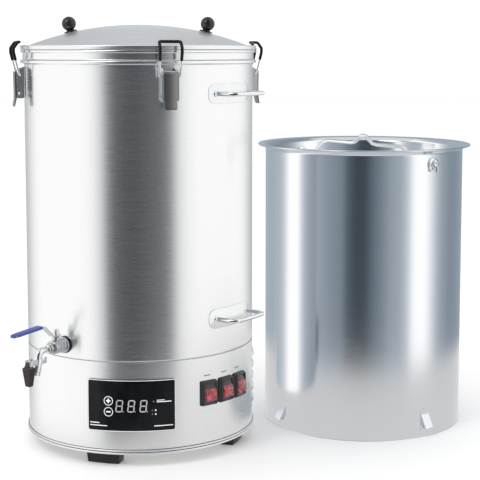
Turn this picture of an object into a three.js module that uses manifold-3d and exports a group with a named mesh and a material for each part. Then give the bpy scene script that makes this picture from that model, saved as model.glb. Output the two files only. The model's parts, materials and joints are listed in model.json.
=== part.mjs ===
// Electric all-in-one brewer: a boiler kettle with a clipped lid, tap and base electrics,
// and the lift-out malt pipe that stands beside it.
// Millimetres, +Z up, -Y is the front. Azimuth 0 faces the front and grows towards +X.
import * as THREE from "three";
import { mergeVertices } from "three/addons/utils/BufferGeometryUtils.js";
import Module from "manifold-3d";

const wasm = await Module();
wasm.setup();

// ---------------------------------------------------------------- driving dimensions
const TURNS = 48; // facets round the large sheet-metal shells
const GAP = 0.3; // air between touching pieces
const HUG = 0.5; // air between the barrel and what is welded or screwed to it

const KETTLE_R = 165; // outside of the barrel
const SHEET = 0.8; // barrel wall
const FOOT_H = 17.6;
const FLANGE_TOP = 25.4; // top of the base plate's turned-up rim
const SKIRT_BOTTOM = FLANGE_TOP + GAP;
const SEAM_Z = 147; // joint between skirt and barrel
const VESSEL_BOTTOM = 138;
const BEAD_Z = 552.7;
const BEAD_R = 170.5;
const NECK_R = 167;
const LIP_Z = 565.8;
const LIP_TOP = 569.7;
const LIP_R = 170;

const LID_R = 170.5;
const LID_RIM_TOP = 576;
const DOME_R = 160;
const DOME_APEX = 606;
const DOME_SPHERE = 434;
const KNOB_AT = 97.5; // knob's distance from the lid's centre
const KNOB_AZIMUTHS = [-85, 95];

const FEET_AZIMUTHS = [-16, 74, 164, 254];
const LATCH_AZIMUTHS = [18.4, 108.4, 198.4, 288.4];
const HANDLES = [
  ["handle_upper_right", 56, 510],
  ["handle_lower_right", 56, 198],
  ["handle_upper_left", 236, 510],
  ["handle_lower_left", 236, 198],
];
const SWITCH_AZIMUTHS = [38.4, 49.2, 60];
const SWITCH_Z = 96.5;
const ROCKER_TILT = 11; // half of the rocker's swing, in degrees
const ROCKER_PIN_R = 164;

const PANEL_HALF_ANGLE = 21.2;
const PANEL_Z = [50.6, 122.4];
const BUTTON_AZIMUTH = -10.7;
const BUTTONS = [["plus_button", 93.5], ["minus_button", 78.3]];
const BUTTON_R = 6.5;
const INLET_Z = 80;
const VENT_AZIMUTH = 90;
const VENT_ROWS = [56, 73, 90, 107, 124];

const VALVE_AZIMUTH = -34.7;
const VALVE_Z = 165;
const STEM_AT = 182; // the tap's stem, from the kettle's axis

const PIPE_AT = [337, 108]; // the malt pipe's axis from the kettle's axis
const PIPE_R = 151;
const PIPE_H = 427;
const PIPE_RIM_R = 163;
const PIPE_WALL = 0.8;
const TAB_AZIMUTHS = [-56.5, 33.5, 123.5, 213.5];
const BAIL_AZIMUTH = 37; // the pipe handle's axis
const BAIL_Z = 404; // its eyelets

// ---------------------------------------------------------------- helpers
const radians = THREE.MathUtils.degToRad;
const at = (r, t, z) => new THREE.Vector3(t, -r, z); // a point on the front, r out, t to the right
const THROUGH = [-180, -140]; // a cut through the barrel's front wall, along Y

// A geometry with merged vertices, no slivers and its faces pointing out.
function closed(geometry) {
  const bare = new THREE.BufferGeometry();
  bare.setAttribute("position", geometry.getAttribute("position").clone());
  if (geometry.index) bare.setIndex(geometry.index.clone());
  const merged = mergeVertices(bare, 1e-4);
  const index = merged.index.array;
  const position = merged.getAttribute("position");
  const kept = [];
  const corner = [new THREE.Vector3(), new THREE.Vector3(), new THREE.Vector3()];
  let volume = 0;
  for (let i = 0; i < index.length; i += 3) {
    const [a, b, c] = [index[i], index[i + 1], index[i + 2]];
    if (a === b || b === c || c === a) continue;
    kept.push(a, b, c);
    [a, b, c].forEach((v, k) => corner[k].fromBufferAttribute(position, v));
    volume += corner[0].dot(corner[1].clone().cross(corner[2])) / 6;
  }
  if (volume < 0) {
    for (let i = 0; i < kept.length; i += 3) [kept[i], kept[i + 1]] = [kept[i + 1], kept[i]];
  }
  merged.setIndex(kept);
  return merged;
}

function solid(geometry) {
  const shape = closed(geometry);
  return new wasm.Manifold(new wasm.Mesh({
    numProp: 3,
    vertProperties: new Float32Array(shape.getAttribute("position").array),
    triVerts: new Uint32Array(shape.index.array),
  }));
}

function geometryOf(body) {
  const mesh = body.getMesh();
  const geometry = new THREE.BufferGeometry();
  geometry.setAttribute("position", new THREE.BufferAttribute(mesh.vertProperties, mesh.numProp));
  geometry.setIndex(new THREE.BufferAttribute(mesh.triVerts, 1));
  return geometry;
}

const join = (first, ...others) => others.reduce((sum, other) => sum.add(other), first);
const cut = (first, ...others) => others.reduce((rest, other) => rest.subtract(other), first);

// Solid of revolution about Z from a closed outline of [r, z] points.
function turned(outline, facets = TURNS) {
  const points = outline.map(([r, z]) => new THREE.Vector2(r, z));
  if (outline[0][0] > 0) points.push(points[0].clone());
  const geometry = new THREE.LatheGeometry(points, facets);
  geometry.rotateX(Math.PI / 2);
  return solid(geometry);
}

function box(x0, x1, y0, y1, z0, z1) {
  const geometry = new THREE.BoxGeometry(x1 - x0, y1 - y0, z1 - z0);
  geometry.translate((x0 + x1) / 2, (y0 + y1) / 2, (z0 + z1) / 2);
  return solid(geometry);
}

// Round bar between two points.
function bar(from, to, r0, facets = 16, r1 = r0) {
  const along = to.clone().sub(from);
  const geometry = new THREE.CylinderGeometry(r1, r0, along.length(), facets);
  const turn = new THREE.Quaternion().setFromUnitVectors(
    new THREE.Vector3(0, 1, 0), along.clone().normalize());
  geometry.applyQuaternion(turn);
  const middle = from.clone().add(to).multiplyScalar(0.5);
  geometry.translate(middle.x, middle.y, middle.z);
  return solid(geometry);
}

// A line with a bend at each of its points, walked one point per step.
class BentLine extends THREE.Curve {
  constructor(points) {
    super();
    this.points = points;
  }

  getUtoTmapping(u) {
    return u;
  }

  getPoint(t, target = new THREE.Vector3()) {
    const place = t * (this.points.length - 1);
    const k = Math.min(Math.floor(place + 1e-6), this.points.length - 2);
    return target.lerpVectors(this.points[k], this.points[k + 1], place - k);
  }

  getTangent(t, target = new THREE.Vector3()) {
    const last = this.points.length - 1;
    const k = Math.round(t * last);
    target.set(0, 0, 0);
    for (const j of [k - 1, k]) {
      if (j < 0 || j >= last) continue;
      target.add(this.points[j + 1].clone().sub(this.points[j]).normalize());
    }
    return target.normalize();
  }
}

// Bent round wire through the given points, with a ring of twice `half` corners at each.
function wire(points, r, half = 4) {
  const section = new THREE.Shape();
  section.absarc(0, 0, r, 0, Math.PI * 2);
  return solid(new THREE.ExtrudeGeometry(section, {
    steps: points.length - 1, extrudePath: new BentLine(points), curveSegments: half,
  }));
}

// Flat outline of [x, z] points pushed along Y from y0 to y1.
function slab(outline, y0, y1) {
  const shape = outline instanceof THREE.Shape
    ? outline : new THREE.Shape(outline.map(([x, z]) => new THREE.Vector2(x, z)));
  const geometry = new THREE.ExtrudeGeometry(shape, {
    depth: y1 - y0, bevelEnabled: false, curveSegments: 2,
  });
  geometry.rotateX(Math.PI / 2);
  geometry.translate(0, y1, 0);
  return solid(geometry);
}

// Side view outline of [r, z] points, as wide as t0 to t1.
function cheek(outline, t0, t1) {
  const shape = new THREE.Shape(outline.map(([r, z]) => new THREE.Vector2(r, z)));
  const geometry = new THREE.ExtrudeGeometry(shape, { depth: t1 - t0, bevelEnabled: false });
  geometry.rotateX(Math.PI / 2);
  geometry.rotateZ(-Math.PI / 2);
  geometry.translate(t1, 0, 0);
  return solid(geometry);
}

function roundedOutline(x0, x1, z0, z1, r) {
  const shape = new THREE.Shape();
  shape.moveTo(x0 + r, z0);
  shape.lineTo(x1 - r, z0);
  shape.absarc(x1 - r, z0 + r, r, -Math.PI / 2, 0);
  shape.lineTo(x1, z1 - r);
  shape.absarc(x1 - r, z1 - r, r, 0, Math.PI / 2);
  shape.lineTo(x0 + r, z1);
  shape.absarc(x0 + r, z1 - r, r, Math.PI / 2, Math.PI);
  shape.lineTo(x0, z0 + r);
  shape.absarc(x0 + r, z0 + r, r, Math.PI, Math.PI * 1.5);
  return shape;
}

// Plate with the given front outline that hugs a cylinder between radii r0 and r1.
function hugging(outline, r0, r1, z0, z1) {
  const shell = turned([[r0, z0 - 5], [r1, z0 - 5], [r1, z1 + 5], [r0, z1 + 5]]);
  return slab(outline, -r1 - 5, -r0 * 0.7).intersect(shell);
}

const about = (body, degrees) => body.rotate([0, 0, degrees]);

// ---------------------------------------------------------------- materials
const steel = (color, roughness) => () =>
  new THREE.MeshStandardMaterial({ color, roughness, metalness: 1 });
const plastic = (color, roughness) => () =>
  new THREE.MeshStandardMaterial({ color, roughness, metalness: 0 });
const brushed = steel(0xc9c9c7, 0.32);
const polished = steel(0xd8d8d8, 0.12);
const dullMetal = steel(0x8f9092, 0.45);
const blackPlastic = plastic(0x17171a, 0.5);
const blackRubber = plastic(0x1b1b1d, 0.8);
const redPlastic = plastic(0xb3202a, 0.25);
const bluePlastic = plastic(0x1a48b8, 0.4);
const greenBoard = plastic(0x1f6b3a, 0.6);
const glossBlack = plastic(0x08090b, 0.15);
const silicone = plastic(0xd9d9d4, 0.6);

const assembly = new THREE.Group();
const kettle = new THREE.Group();
const pipe = new THREE.Group();
pipe.position.set(PIPE_AT[0], PIPE_AT[1], 0);
assembly.add(kettle, pipe);

function add(group, name, body, material, azimuth = 0) {
  const mesh = new THREE.Mesh(geometryOf(body), material());
  mesh.name = name;
  mesh.rotation.z = radians(azimuth);
  group.add(mesh);
  return mesh;
}

// ---------------------------------------------------------------- boiler shells
function vessel() {
  const inner = KETTLE_R - SHEET;
  const shell = turned([
    [0, VESSEL_BOTTOM], [162.6, VESSEL_BOTTOM],
    [162.6, SEAM_Z + 0.6], [KETTLE_R, SEAM_Z + 2.2],
    [KETTLE_R, 549.6], [BEAD_R, 551.6], [BEAD_R, 553.8], [NECK_R, 556],
    [NECK_R, LIP_Z], [LIP_R, LIP_Z], [LIP_R, LIP_TOP],
    [NECK_R - SHEET, LIP_TOP], [NECK_R - SHEET, 556.4], [inner, 549],
    [inner, SEAM_Z + 3], [161.8, SEAM_Z + 1.2], [161.8, VESSEL_BOTTOM + 1.2],
    [0, VESSEL_BOTTOM + 1.2],
  ]);
  const tapHole = about(bar(at(150, 0, VALVE_Z), at(175, 0, VALVE_Z), 7.9, 20), VALVE_AZIMUTH);
  return cut(shell, tapHole);
}

// Horizontal louvre: a pressed hood over a slot.
function louvreHood(z) {
  const hood = cheek([
    [163.2, z - 2.5], [167.6, z - 2.5], [167.8, z - 1], [164.9, z + 6], [163.2, z + 6],
  ], -22, 22);
  const hollow = cheek([
    [160, z - 4], [166.9, z - 4], [166.7, z - 1.2], [163.9, z + 4.2], [160, z + 4.2],
  ], -20.5, 20.5);
  return [hood, hollow];
}

function skirt() {
  const outer = KETTLE_R;
  const inner = KETTLE_R - 1;
  let shell = turned([
    [inner, SKIRT_BOTTOM], [outer, SKIRT_BOTTOM], [outer, SEAM_Z - 0.8],
    [outer - 0.4, SEAM_Z], [inner, SEAM_Z],
  ]);
  const window = slab(roundedOutline(-43, 43, 67, 104, 3), ...THROUGH);
  shell = cut(shell, window);
  for (const azimuth of SWITCH_AZIMUTHS) {
    const hole = box(-12.2, 12.2, ...THROUGH, SWITCH_Z - 15.4, SWITCH_Z + 15.4);
    shell = cut(shell, about(hole, azimuth));
  }
  const inletHole = box(-15.4, 15.4, ...THROUGH, INLET_Z - 12.4, INLET_Z + 12.4);
  shell = cut(shell, about(inletHole, 180));
  for (const z of VENT_ROWS) {
    const [hood, hollow] = louvreHood(z);
    shell = cut(join(shell, about(hood, VENT_AZIMUTH)), about(hollow, VENT_AZIMUTH));
  }
  return shell;
}

function basePlate() {
  const under = FOOT_H + 0.5;
  const plate = turned([
    [0, under], [166.4, under], [167.2, under + 1], [167.2, FLANGE_TOP],
    [164.9, FLANGE_TOP], [164.9, under + 1.4], [0, under + 1.4],
  ]);
  const slots = [];
  for (let k = 0; k < 8; k += 1) {
    slots.push(about(box(-3, 3, -95, -45, under - 2, under + 4), k * 45));
  }
  return cut(plate, ...slots);
}

function foot() {
  const outline = [[-23, 0], [23, 0], [24.5, FOOT_H + 0.2], [-24.5, FOOT_H + 0.2]];
  const block = slab(outline, -160, -131);
  const curb = turned([[0, -1], [151, -1], [153.5, FOOT_H + 1], [0, FOOT_H + 1]], 48);
  const screwWell = bar(at(143, 0, -1), at(143, 0, 10), 4, 12);
  return cut(block.intersect(curb), screwWell);
}

add(kettle, "vessel", vessel(), brushed);
add(kettle, "skirt", skirt(), brushed);
add(kettle, "base_plate", basePlate(), brushed);
FEET_AZIMUTHS.forEach((azimuth, k) => {
  add(kettle, `foot_${k + 1}`, foot(), blackRubber, azimuth);
});

// ---------------------------------------------------------------- heating parts
function heatingElement(radius) {
  const points = [];
  for (let k = 0; k <= 16; k += 1) {
    const angle = radians(110 + k * 20);
    points.push(new THREE.Vector3(radius * Math.cos(angle), radius * Math.sin(angle), 129.4));
  }
  return wire(points, 3.4, 3);
}

const heaterPlate = () => turned([[0, 133.4], [126, 133.4], [126, 137.6], [0, 137.6]]);
const thermalCutout = () => turned([[0, 121], [7, 121], [7, 126], [11, 126], [11, 133], [0, 133]], 20);
const temperatureSensor = () => bar(at(30, 0, 118), at(30, 0, 133), 3.5, 14);

add(kettle, "heater_plate", heaterPlate(), dullMetal);
[58, 84, 110].forEach((radius, k) => {
  add(kettle, `heating_element_${k + 1}`, heatingElement(radius), dullMetal);
});
add(kettle, "thermal_cutout", thermalCutout(), blackPlastic);
add(kettle, "temperature_sensor", temperatureSensor(), dullMetal, 60);

// ---------------------------------------------------------------- control parts
function controlPanel() {
  const reach = KETTLE_R * Math.sin(radians(PANEL_HALF_ANGLE));
  const plate = hugging(roundedOutline(-reach, reach, ...PANEL_Z, 4),
    KETTLE_R + HUG, KETTLE_R + 2.2, ...PANEL_Z);
  const holes = BUTTONS.map(([, z]) =>
    about(bar(at(150, 0, z), at(175, 0, z), BUTTON_R + 0.6, 12), BUTTON_AZIMUTH));
  return cut(plate, ...holes);
}

function panelButton(z) {
  const cap = bar(at(158, 0, z), at(KETTLE_R + 2.8, 0, z), BUTTON_R, 12);
  return join(cap, bar(at(159.5, 0, z), at(161.5, 0, z), BUTTON_R + 0.8, 12));
}

function switchHousing() {
  const [front, back] = [-173, -165.4];
  const bezel = slab(roundedOutline(-13.6, 13.6, SWITCH_Z - 17.5, SWITCH_Z + 17.5, 2.5), front, back);
  const body = box(-11.8, 11.8, back - 1, -146, SWITCH_Z - 15, SWITCH_Z + 15);
  const well = box(-9.8, 9.8, front - 1, -151, SWITCH_Z - 14.3, SWITCH_Z + 14.3);
  const pinHole = bar(at(ROCKER_PIN_R, -11.4, SWITCH_Z), at(ROCKER_PIN_R, 11.4, SWITCH_Z), 1.9, 12);
  return cut(join(bezel, body), well, pinHole);
}

function rocker() {
  const side = cheek([
    [172.6, 12.4], [171.4, 0], [172.6, -12.4], [164, -11.2], [157.5, -3.5], [157.5, 3.5], [164, 11.2],
  ], -9.3, 9.3);
  const pin = bar(at(ROCKER_PIN_R, -11, 0), at(ROCKER_PIN_R, 11, 0), 1.5, 12);
  const whole = join(side, pin).translate([0, ROCKER_PIN_R, 0]);
  return whole.rotate([-ROCKER_TILT, 0, 0]).translate([0, -ROCKER_PIN_R, SWITCH_Z]);
}

function powerInlet() {
  const flange = hugging(roundedOutline(-25, 25, INLET_Z - 15, INLET_Z + 15, 5),
    KETTLE_R + HUG, KETTLE_R + 2.6, INLET_Z - 15, INLET_Z + 15);
  const body = box(-15, 15, -167, -140, INLET_Z - 12, INLET_Z + 12);
  const keyed = [[-12.2, -8], [12.2, -8], [12.2, 4.5], [8.5, 8], [-8.5, 8], [-12.2, 4.5]];
  const socket = slab(keyed.map(([x, z]) => [x, z + INLET_Z]), -180, -144);
  const blades = [[-7, -2], [0, 2], [7, -2]].map(([x, z]) =>
    box(x - 1, x + 1, -161, -143, INLET_Z + z - 2.5, INLET_Z + z + 2.5));
  const screws = [-20, 20].map((x) => bar(at(160, x, INLET_Z), at(175, x, INLET_Z), 1.8, 10));
  return join(cut(join(flange, body), socket, ...screws), ...blades);
}

add(kettle, "control_panel", controlPanel(), glossBlack);
for (const [name, z] of BUTTONS) add(kettle, name, panelButton(z), blackPlastic, BUTTON_AZIMUTH);
add(kettle, "display_module", box(-20, 28, -156.5, -150, 76, 98), blackPlastic);
add(kettle, "control_board", box(-46, 46, -148.2, -146.6, 56, 118), greenBoard);
SWITCH_AZIMUTHS.forEach((azimuth, k) => {
  add(kettle, `switch_housing_${k + 1}`, switchHousing(), blackPlastic, azimuth);
  add(kettle, `switch_rocker_${k + 1}`, rocker(), redPlastic, azimuth);
});
add(kettle, "power_inlet", powerInlet(), blackPlastic, 180);

// ---------------------------------------------------------------- carrying handles
function carryingHandle(z) {
  const plate = hugging(roundedOutline(-48, 48, z - 14, z + 14, 13.9),
    KETTLE_R + HUG, KETTLE_R + 2, z - 14, z + 14);
  const half = [[161, 36], [175, 36], [188, 35.6], [194.6, 31], [197, 22]]; // r, t
  const grip = wire([
    ...half.map(([r, t]) => at(r, t, z)),
    at(197.6, 0, z),
    ...half.map(([r, t]) => at(r, -t, z)).reverse(),
  ], 3, 4);
  const inside = KETTLE_R + HUG;
  const barrel = turned([[0, z - 20], [inside, z - 20], [inside, z + 20], [0, z + 20]]);
  return cut(join(plate, grip), barrel);
}

for (const [name, azimuth, z] of HANDLES) add(kettle, name, carryingHandle(z), polished, azimuth);

// ---------------------------------------------------------------- lid
function lid() {
  const centreZ = DOME_APEX - DOME_SPHERE;
  const dome = (r, sphere) => [r, centreZ + Math.sqrt(sphere ** 2 - r ** 2)];
  const rings = [0, 65, 120, DOME_R];
  return turned([
    ...rings.map((r) => dome(r, DOME_SPHERE)),
    [166, LID_RIM_TOP], [169.2, LID_RIM_TOP], [LID_R, 574.6], [LID_R, LIP_TOP + GAP],
    [167.6, LIP_TOP + GAP], [167.4, 573.6], [163, 573.6],
    ...rings.reverse().map((r) => dome(r, DOME_SPHERE - 0.9)),
  ]);
}

function knob() {
  const profile = [[0, GAP], [9.5, GAP], [9.5, 1.8], [4.6, 3.6], [4.6, 5.6]];
  for (let k = 0; k <= 4; k += 1) {
    const angle = radians(-42 + k * 33);
    profile.push([10.2 * Math.cos(angle), 12.6 + 10.2 * Math.sin(angle)]);
  }
  profile[profile.length - 1] = [0, 22.8];
  const slope = Math.asin(KNOB_AT / DOME_SPHERE);
  const up = DOME_APEX - DOME_SPHERE + Math.sqrt(DOME_SPHERE ** 2 - KNOB_AT ** 2);
  return turned(profile, 14).rotate([THREE.MathUtils.radToDeg(slope), 0, 0])
    .translate([0, -KNOB_AT, up]);
}

const lidSeal = () => turned([[161.8, 565], [165.7, 565], [165.7, 573.2], [163.2, 573.2]]);

add(kettle, "lid", lid(), brushed);
add(kettle, "lid_seal", lidSeal(), silicone);
KNOB_AZIMUTHS.forEach((azimuth, k) => add(kettle, `lid_knob_${k + 1}`, knob(), blackPlastic, azimuth));

// ---------------------------------------------------------------- over-centre latches
const LEVER_PIVOT = [172, 540]; // r, z
const BAIL_PIVOT = [175, 534];
const LOCK_HOLE = [174.5, 508.5];

// Tangential round bar centred at [r, z].
const crossBar = ([r, z], reach, radius) => bar(at(r, -reach, z), at(r, reach, z), radius, 6);

function latchBracket() {
  const plate = box(-10, 10, -166.6, -165.5, 500, 546);
  const ear = (t0, t1) => cheek([[166.2, 533], [174.8, 537.6], [174.8, 542.4], [166.2, 546]], t0, t1);
  return cut(join(plate, ear(-9.4, -8), ear(8, 9.4)), crossBar(LEVER_PIVOT, 12, 2));
}

function latchLever() {
  const side = [[167.6, 544], [172, 544], [178.8, 539.5], [178.8, 501.5], [168.4, 501.5]];
  const flange = (t0, t1) => cheek(side, t0, t1);
  const shoulder = cheek([[177.6, 539.5], [178.8, 539.5], [178.8, 502], [177.6, 502]], -11.9, 11.9);
  const face = cheek([
    [178, 539.5], [181.4, 539.5], [180.8, 502], [182.8, 490], [181.6, 490], [178, 505],
  ], -8.5, 8.5);
  const web = join(shoulder, face);
  const pin = crossBar(LEVER_PIVOT, 11.9, 1.5);
  const holes = [crossBar(BAIL_PIVOT, 14, 2.2), crossBar(LOCK_HOLE, 14, 2.6)];
  return cut(join(flange(-11.9, -10.7), flange(10.7, 11.9), web, pin), ...holes);
}

function latchBail() {
  const [r, z] = BAIL_PIVOT;
  const half = (s) => [
    at(r, 9.4 * s, z), at(r, 13.2 * s, z), at(r + 1.2, 14.4 * s, z + 3), at(183.2, 15 * s, 566),
    at(183.2, 15 * s, 572), at(177.6, 14.8 * s, 579.8),
  ];
  const points = [...half(1), at(174.6, 12.4, 580.6), at(174.6, -12.4, 580.6), ...half(-1).reverse()];
  return wire(points, 1.5, 3);
}

LATCH_AZIMUTHS.forEach((azimuth, k) => {
  add(kettle, `latch_bracket_${k + 1}`, latchBracket(), brushed, azimuth);
  add(kettle, `latch_lever_${k + 1}`, latchLever(), polished, azimuth);
  add(kettle, `latch_bail_${k + 1}`, latchBail(), blackPlastic, azimuth);
});

// ---------------------------------------------------------------- tap
const axisPoint = (r) => at(r, 0, VALVE_Z);

function valveBody() {
  const nipple = bar(axisPoint(156), axisPoint(169), 7.4, 14);
  const collar = bar(axisPoint(167.5), axisPoint(171), 11.4, 20);
  const barrel = bar(axisPoint(170.5), axisPoint(191.5), 9.6, 16);
  const outlet = bar(axisPoint(191), axisPoint(197), 7.6, 6);
  const boss = bar(at(STEM_AT, 0, VALVE_Z + 6), at(STEM_AT, 0, VALVE_Z + 14.5), 5, 16);
  const bore = bar(axisPoint(150), axisPoint(210), 4.6, 14);
  const seat = solid(new THREE.SphereGeometry(8, 12, 6)).translate([0, -STEM_AT, VALVE_Z]);
  const stemHole = bar(at(STEM_AT, 0, VALVE_Z), at(STEM_AT, 0, VALVE_Z + 20), 3, 16);
  return cut(join(nipple, collar, barrel, outlet, boss), bore, seat, stemHole);
}

function valveBall() {
  const ball = solid(new THREE.SphereGeometry(7.2, 12, 6)).translate([0, -STEM_AT, VALVE_Z]);
  const stem = bar(at(STEM_AT, 0, VALVE_Z + 4), at(STEM_AT, 0, VALVE_Z + 24), 2.5, 16);
  const bore = bar(axisPoint(170), axisPoint(205), 3.8, 16);
  return cut(join(ball, stem), bore);
}

const STRAP_Z = VALVE_Z + 15; // underside of the lever's strap at the stem

function valveLever() {
  const z = STRAP_Z;
  const strap = cheek([
    [176, z], [190, z], [196.5, z + 6], [208, z + 16.4], [262, z + 13],
    [262, z + 15], [207.4, z + 18.6], [195, z + 7.6], [189.4, z + 2], [176, z + 2],
  ], -4.5, 4.5);
  const stemHole = bar(at(STEM_AT, 0, z - 5), at(STEM_AT, 0, z + 9.3), 2.8, 16);
  const nut = bar(at(STEM_AT, 0, z + 1.5), at(STEM_AT, 0, z + 10), 4.8, 6);
  return cut(join(strap, nut), stemHole);
}

function valveGrip() {
  const middle = [[212, 17.35], [265, 13.85]]; // r and height over the strap's underside
  const half = 2.1;
  const sleeve = cheek([
    ...middle.map(([r, h]) => [r, STRAP_Z + h - half]),
    ...middle.reverse().map(([r, h]) => [r, STRAP_Z + h + half]),
  ], -5.4, 5.4);
  const slot = cheek([
    [205, STRAP_Z + 16.3], [262.5, STRAP_Z + 12.7], [262.5, STRAP_Z + 15.3], [205, STRAP_Z + 19],
  ], -4.8, 4.8);
  return cut(sleeve, slot);
}

const COUPLER_TOP = at(217.3, 0, VALVE_Z - 9.5);
const COUPLER_END = at(223, 0, VALVE_Z - 31.5);
const LATCH_PIVOT = [234.5, VALVE_Z - 13.5]; // r, z

function spout() {
  const bend = (r) => wire([
    axisPoint(197.3), axisPoint(207), at(212, 0, VALVE_Z - 0.8), at(215, 0, VALVE_Z - 3.2),
    at(216.5, 0, VALVE_Z - 6.4), at(219.2, 0, VALVE_Z - 17),
  ], r, 4);
  const nut = bar(axisPoint(197.3), axisPoint(200.5), 6.4, 6);
  return cut(join(bend(4.7), nut), bend(3.4));
}

function coupler() {
  const [r, z] = LATCH_PIVOT;
  const body = bar(COUPLER_TOP, COUPLER_END, 6.6, 16);
  const along = COUPLER_END.clone().sub(COUPLER_TOP).normalize().multiplyScalar(2);
  const bore = bar(COUPLER_TOP.clone().sub(along), COUPLER_END.clone().add(along), 5.2, 14);
  const backLug = box(-3.5, 3.5, -214, -204, z - 4, z + 4.6);
  const ear = (t0) => box(t0, t0 + 1.6, -237.5, -222, z - 3.5, z + 4.6);
  const pinHole = bar(at(r, -8, z), at(r, 8, z), 1.6, 8);
  return cut(join(body, backLug, ear(-5.2), ear(3.6)), bore, pinHole);
}

function couplerLatch() {
  const [r, z] = LATCH_PIVOT;
  const arm = cheek([
    [r - 2, z + 1.8], [r + 2.4, z + 1.8], [r + 7.2, z - 5], [r + 6.6, z - 6.6], [r - 4.5, z - 6.6],
  ], -3.2, 3.2);
  const outline = [[-7, z - 5], [7, z - 5], [6.6, z - 10], [3.8, z - 31], [-3.8, z - 31], [-6.6, z - 10]];
  const depth = cheek([
    [r - 5.2, z - 5], [r + 7.6, z - 5], [r + 4.4, z - 31], [r - 3, z - 31],
  ], -8, 8);
  const pad = slab(outline, -r - 9, -r + 7).intersect(depth);
  const pin = bar(at(r, -5, z), at(r, 5, z), 1.1, 8);
  return join(arm, pad, pin);
}

// A nut or washer on the tap's thread, from r0 to r1.
const onThread = (r0, r1, radius, facets) =>
  cut(bar(axisPoint(r0), axisPoint(r1), radius, facets), bar(axisPoint(150), axisPoint(175), 7.8, 24));

add(kettle, "valve_inner_nut", onThread(157, 162.8, 11.5, 6), polished, VALVE_AZIMUTH);
add(kettle, "valve_washer", onThread(165.5, 167.2, 12, 24), silicone, VALVE_AZIMUTH);
add(kettle, "valve_body", valveBody(), polished, VALVE_AZIMUTH);
add(kettle, "valve_ball", valveBall(), polished, VALVE_AZIMUTH);
add(kettle, "valve_lever", valveLever(), polished, VALVE_AZIMUTH);
add(kettle, "valve_grip", valveGrip(), bluePlastic, VALVE_AZIMUTH);
add(kettle, "spout", spout(), polished, VALVE_AZIMUTH);
add(kettle, "coupler", coupler(), polished, VALVE_AZIMUTH);
add(kettle, "coupler_latch", couplerLatch(), blackRubber, VALVE_AZIMUTH);

// ---------------------------------------------------------------- malt pipe
const LEDGE_Z = 6.6;

function maltPipe() {
  const inner = PIPE_R - PIPE_WALL;
  let shell = turned([
    [inner, 0], [PIPE_R, 0], [PIPE_R, 417], [153, 421.4], [161.6, 424], [PIPE_RIM_R, 426],
    [161.4, PIPE_H], [152.4, 423], [inner, 417.6],
    [inner, LEDGE_Z + 1], [139, LEDGE_Z + 1], [139, LEDGE_Z], [inner, LEDGE_Z],
  ]);
  TAB_AZIMUTHS.forEach((azimuth, k) => {
    const side = k % 2 === 0 ? 1 : -1;
    const opening = box(-8, 8, -PIPE_R - 3, -inner + 1.6, 12, 33.4);
    const slit = box(side * 8 - 0.7, side * 8 + 0.7, -PIPE_R - 3, -inner + 2, -1, 39);
    const pinhole = bar(at(140, side * 2.5, 42), at(156, side * 2.5, 42), 1.4, 8);
    const flap = box(-7.2, 7.2, -PIPE_R + 0.1, -PIPE_R + 1.1, 13, 34.6)
      .translate([0, PIPE_R, -34]).rotate([-22, 0, 0]).translate([0, -PIPE_R, 34]);
    shell = cut(shell, about(join(opening, slit, pinhole), azimuth));
    shell = join(shell, about(flap, azimuth));
  });
  for (const azimuth of [BAIL_AZIMUTH, BAIL_AZIMUTH + 180]) {
    shell = cut(shell, about(bar(at(140, 0, BAIL_Z), at(165, 0, BAIL_Z), 4.6, 16), azimuth));
  }
  return shell;
}

function eyelet() {
  const ring = bar(at(PIPE_R + GAP, 0, BAIL_Z), at(PIPE_R + 2.2, 0, BAIL_Z), 10, 20);
  return cut(ring, bar(at(140, 0, BAIL_Z), at(165, 0, BAIL_Z), 4.6, 16));
}

function pipeHandle() {
  const half = [ // distance from the pipe's axis, height over the eyelets
    [158.2, -10], [158.2, -3.2], [156.6, -0.4], [152, 0], [142, 0], [134, -2.4], [124, -1.6],
    [112, 5], [94, 19], [86, 21.6], [60, 21.6], [30, 21.6], [22, 23], [4, 33.6],
  ];
  const points = [
    ...half.map(([u, h]) => at(u, 0, BAIL_Z + h)),
    ...half.map(([u, h]) => at(-u, 0, BAIL_Z + h)).reverse(),
  ];
  return wire(points, 2.9, 4);
}

function pipeScreen() {
  const [z0, z1] = [LEDGE_Z + 1.3, LEDGE_Z + 2.3];
  let disc = turned([[0, z0], [149.4, z0], [149.4, z0 + 3], [148.4, z0 + 3], [148.4, z1], [0, z1]]);
  const pitch = 50;
  const [rows, columns] = [3, 4]; // each side of the middle
  for (let row = -rows; row <= rows; row += 1) {
    for (let column = -columns; column <= columns; column += 1) {
      const x = (column + (row % 2 === 0 ? 0 : 0.5)) * pitch;
      const y = row * pitch * Math.sqrt(3) / 2;
      if (Math.hypot(x, y) > 132) continue;
      const hole = bar(new THREE.Vector3(x, y, z0 - 1), new THREE.Vector3(x, y, z1 + 1), 5, 6);
      disc = cut(disc, hole);
    }
  }
  return disc;
}

add(pipe, "malt_pipe", maltPipe(), brushed);
add(pipe, "pipe_eyelet_1", eyelet(), polished, BAIL_AZIMUTH);
add(pipe, "pipe_eyelet_2", eyelet(), polished, BAIL_AZIMUTH + 180);
add(pipe, "pipe_handle", pipeHandle(), polished, BAIL_AZIMUTH);
add(pipe, "pipe_screen", pipeScreen(), brushed);

// ---------------------------------------------------------------- origin under the middle
assembly.updateMatrixWorld(true);
const extent = new THREE.Box3().setFromObject(assembly, true);
const middle = extent.getCenter(new THREE.Vector3());
assembly.position.set(-middle.x, -middle.y, -extent.min.z);
assembly.updateMatrixWorld(true);

export default assembly;
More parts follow.
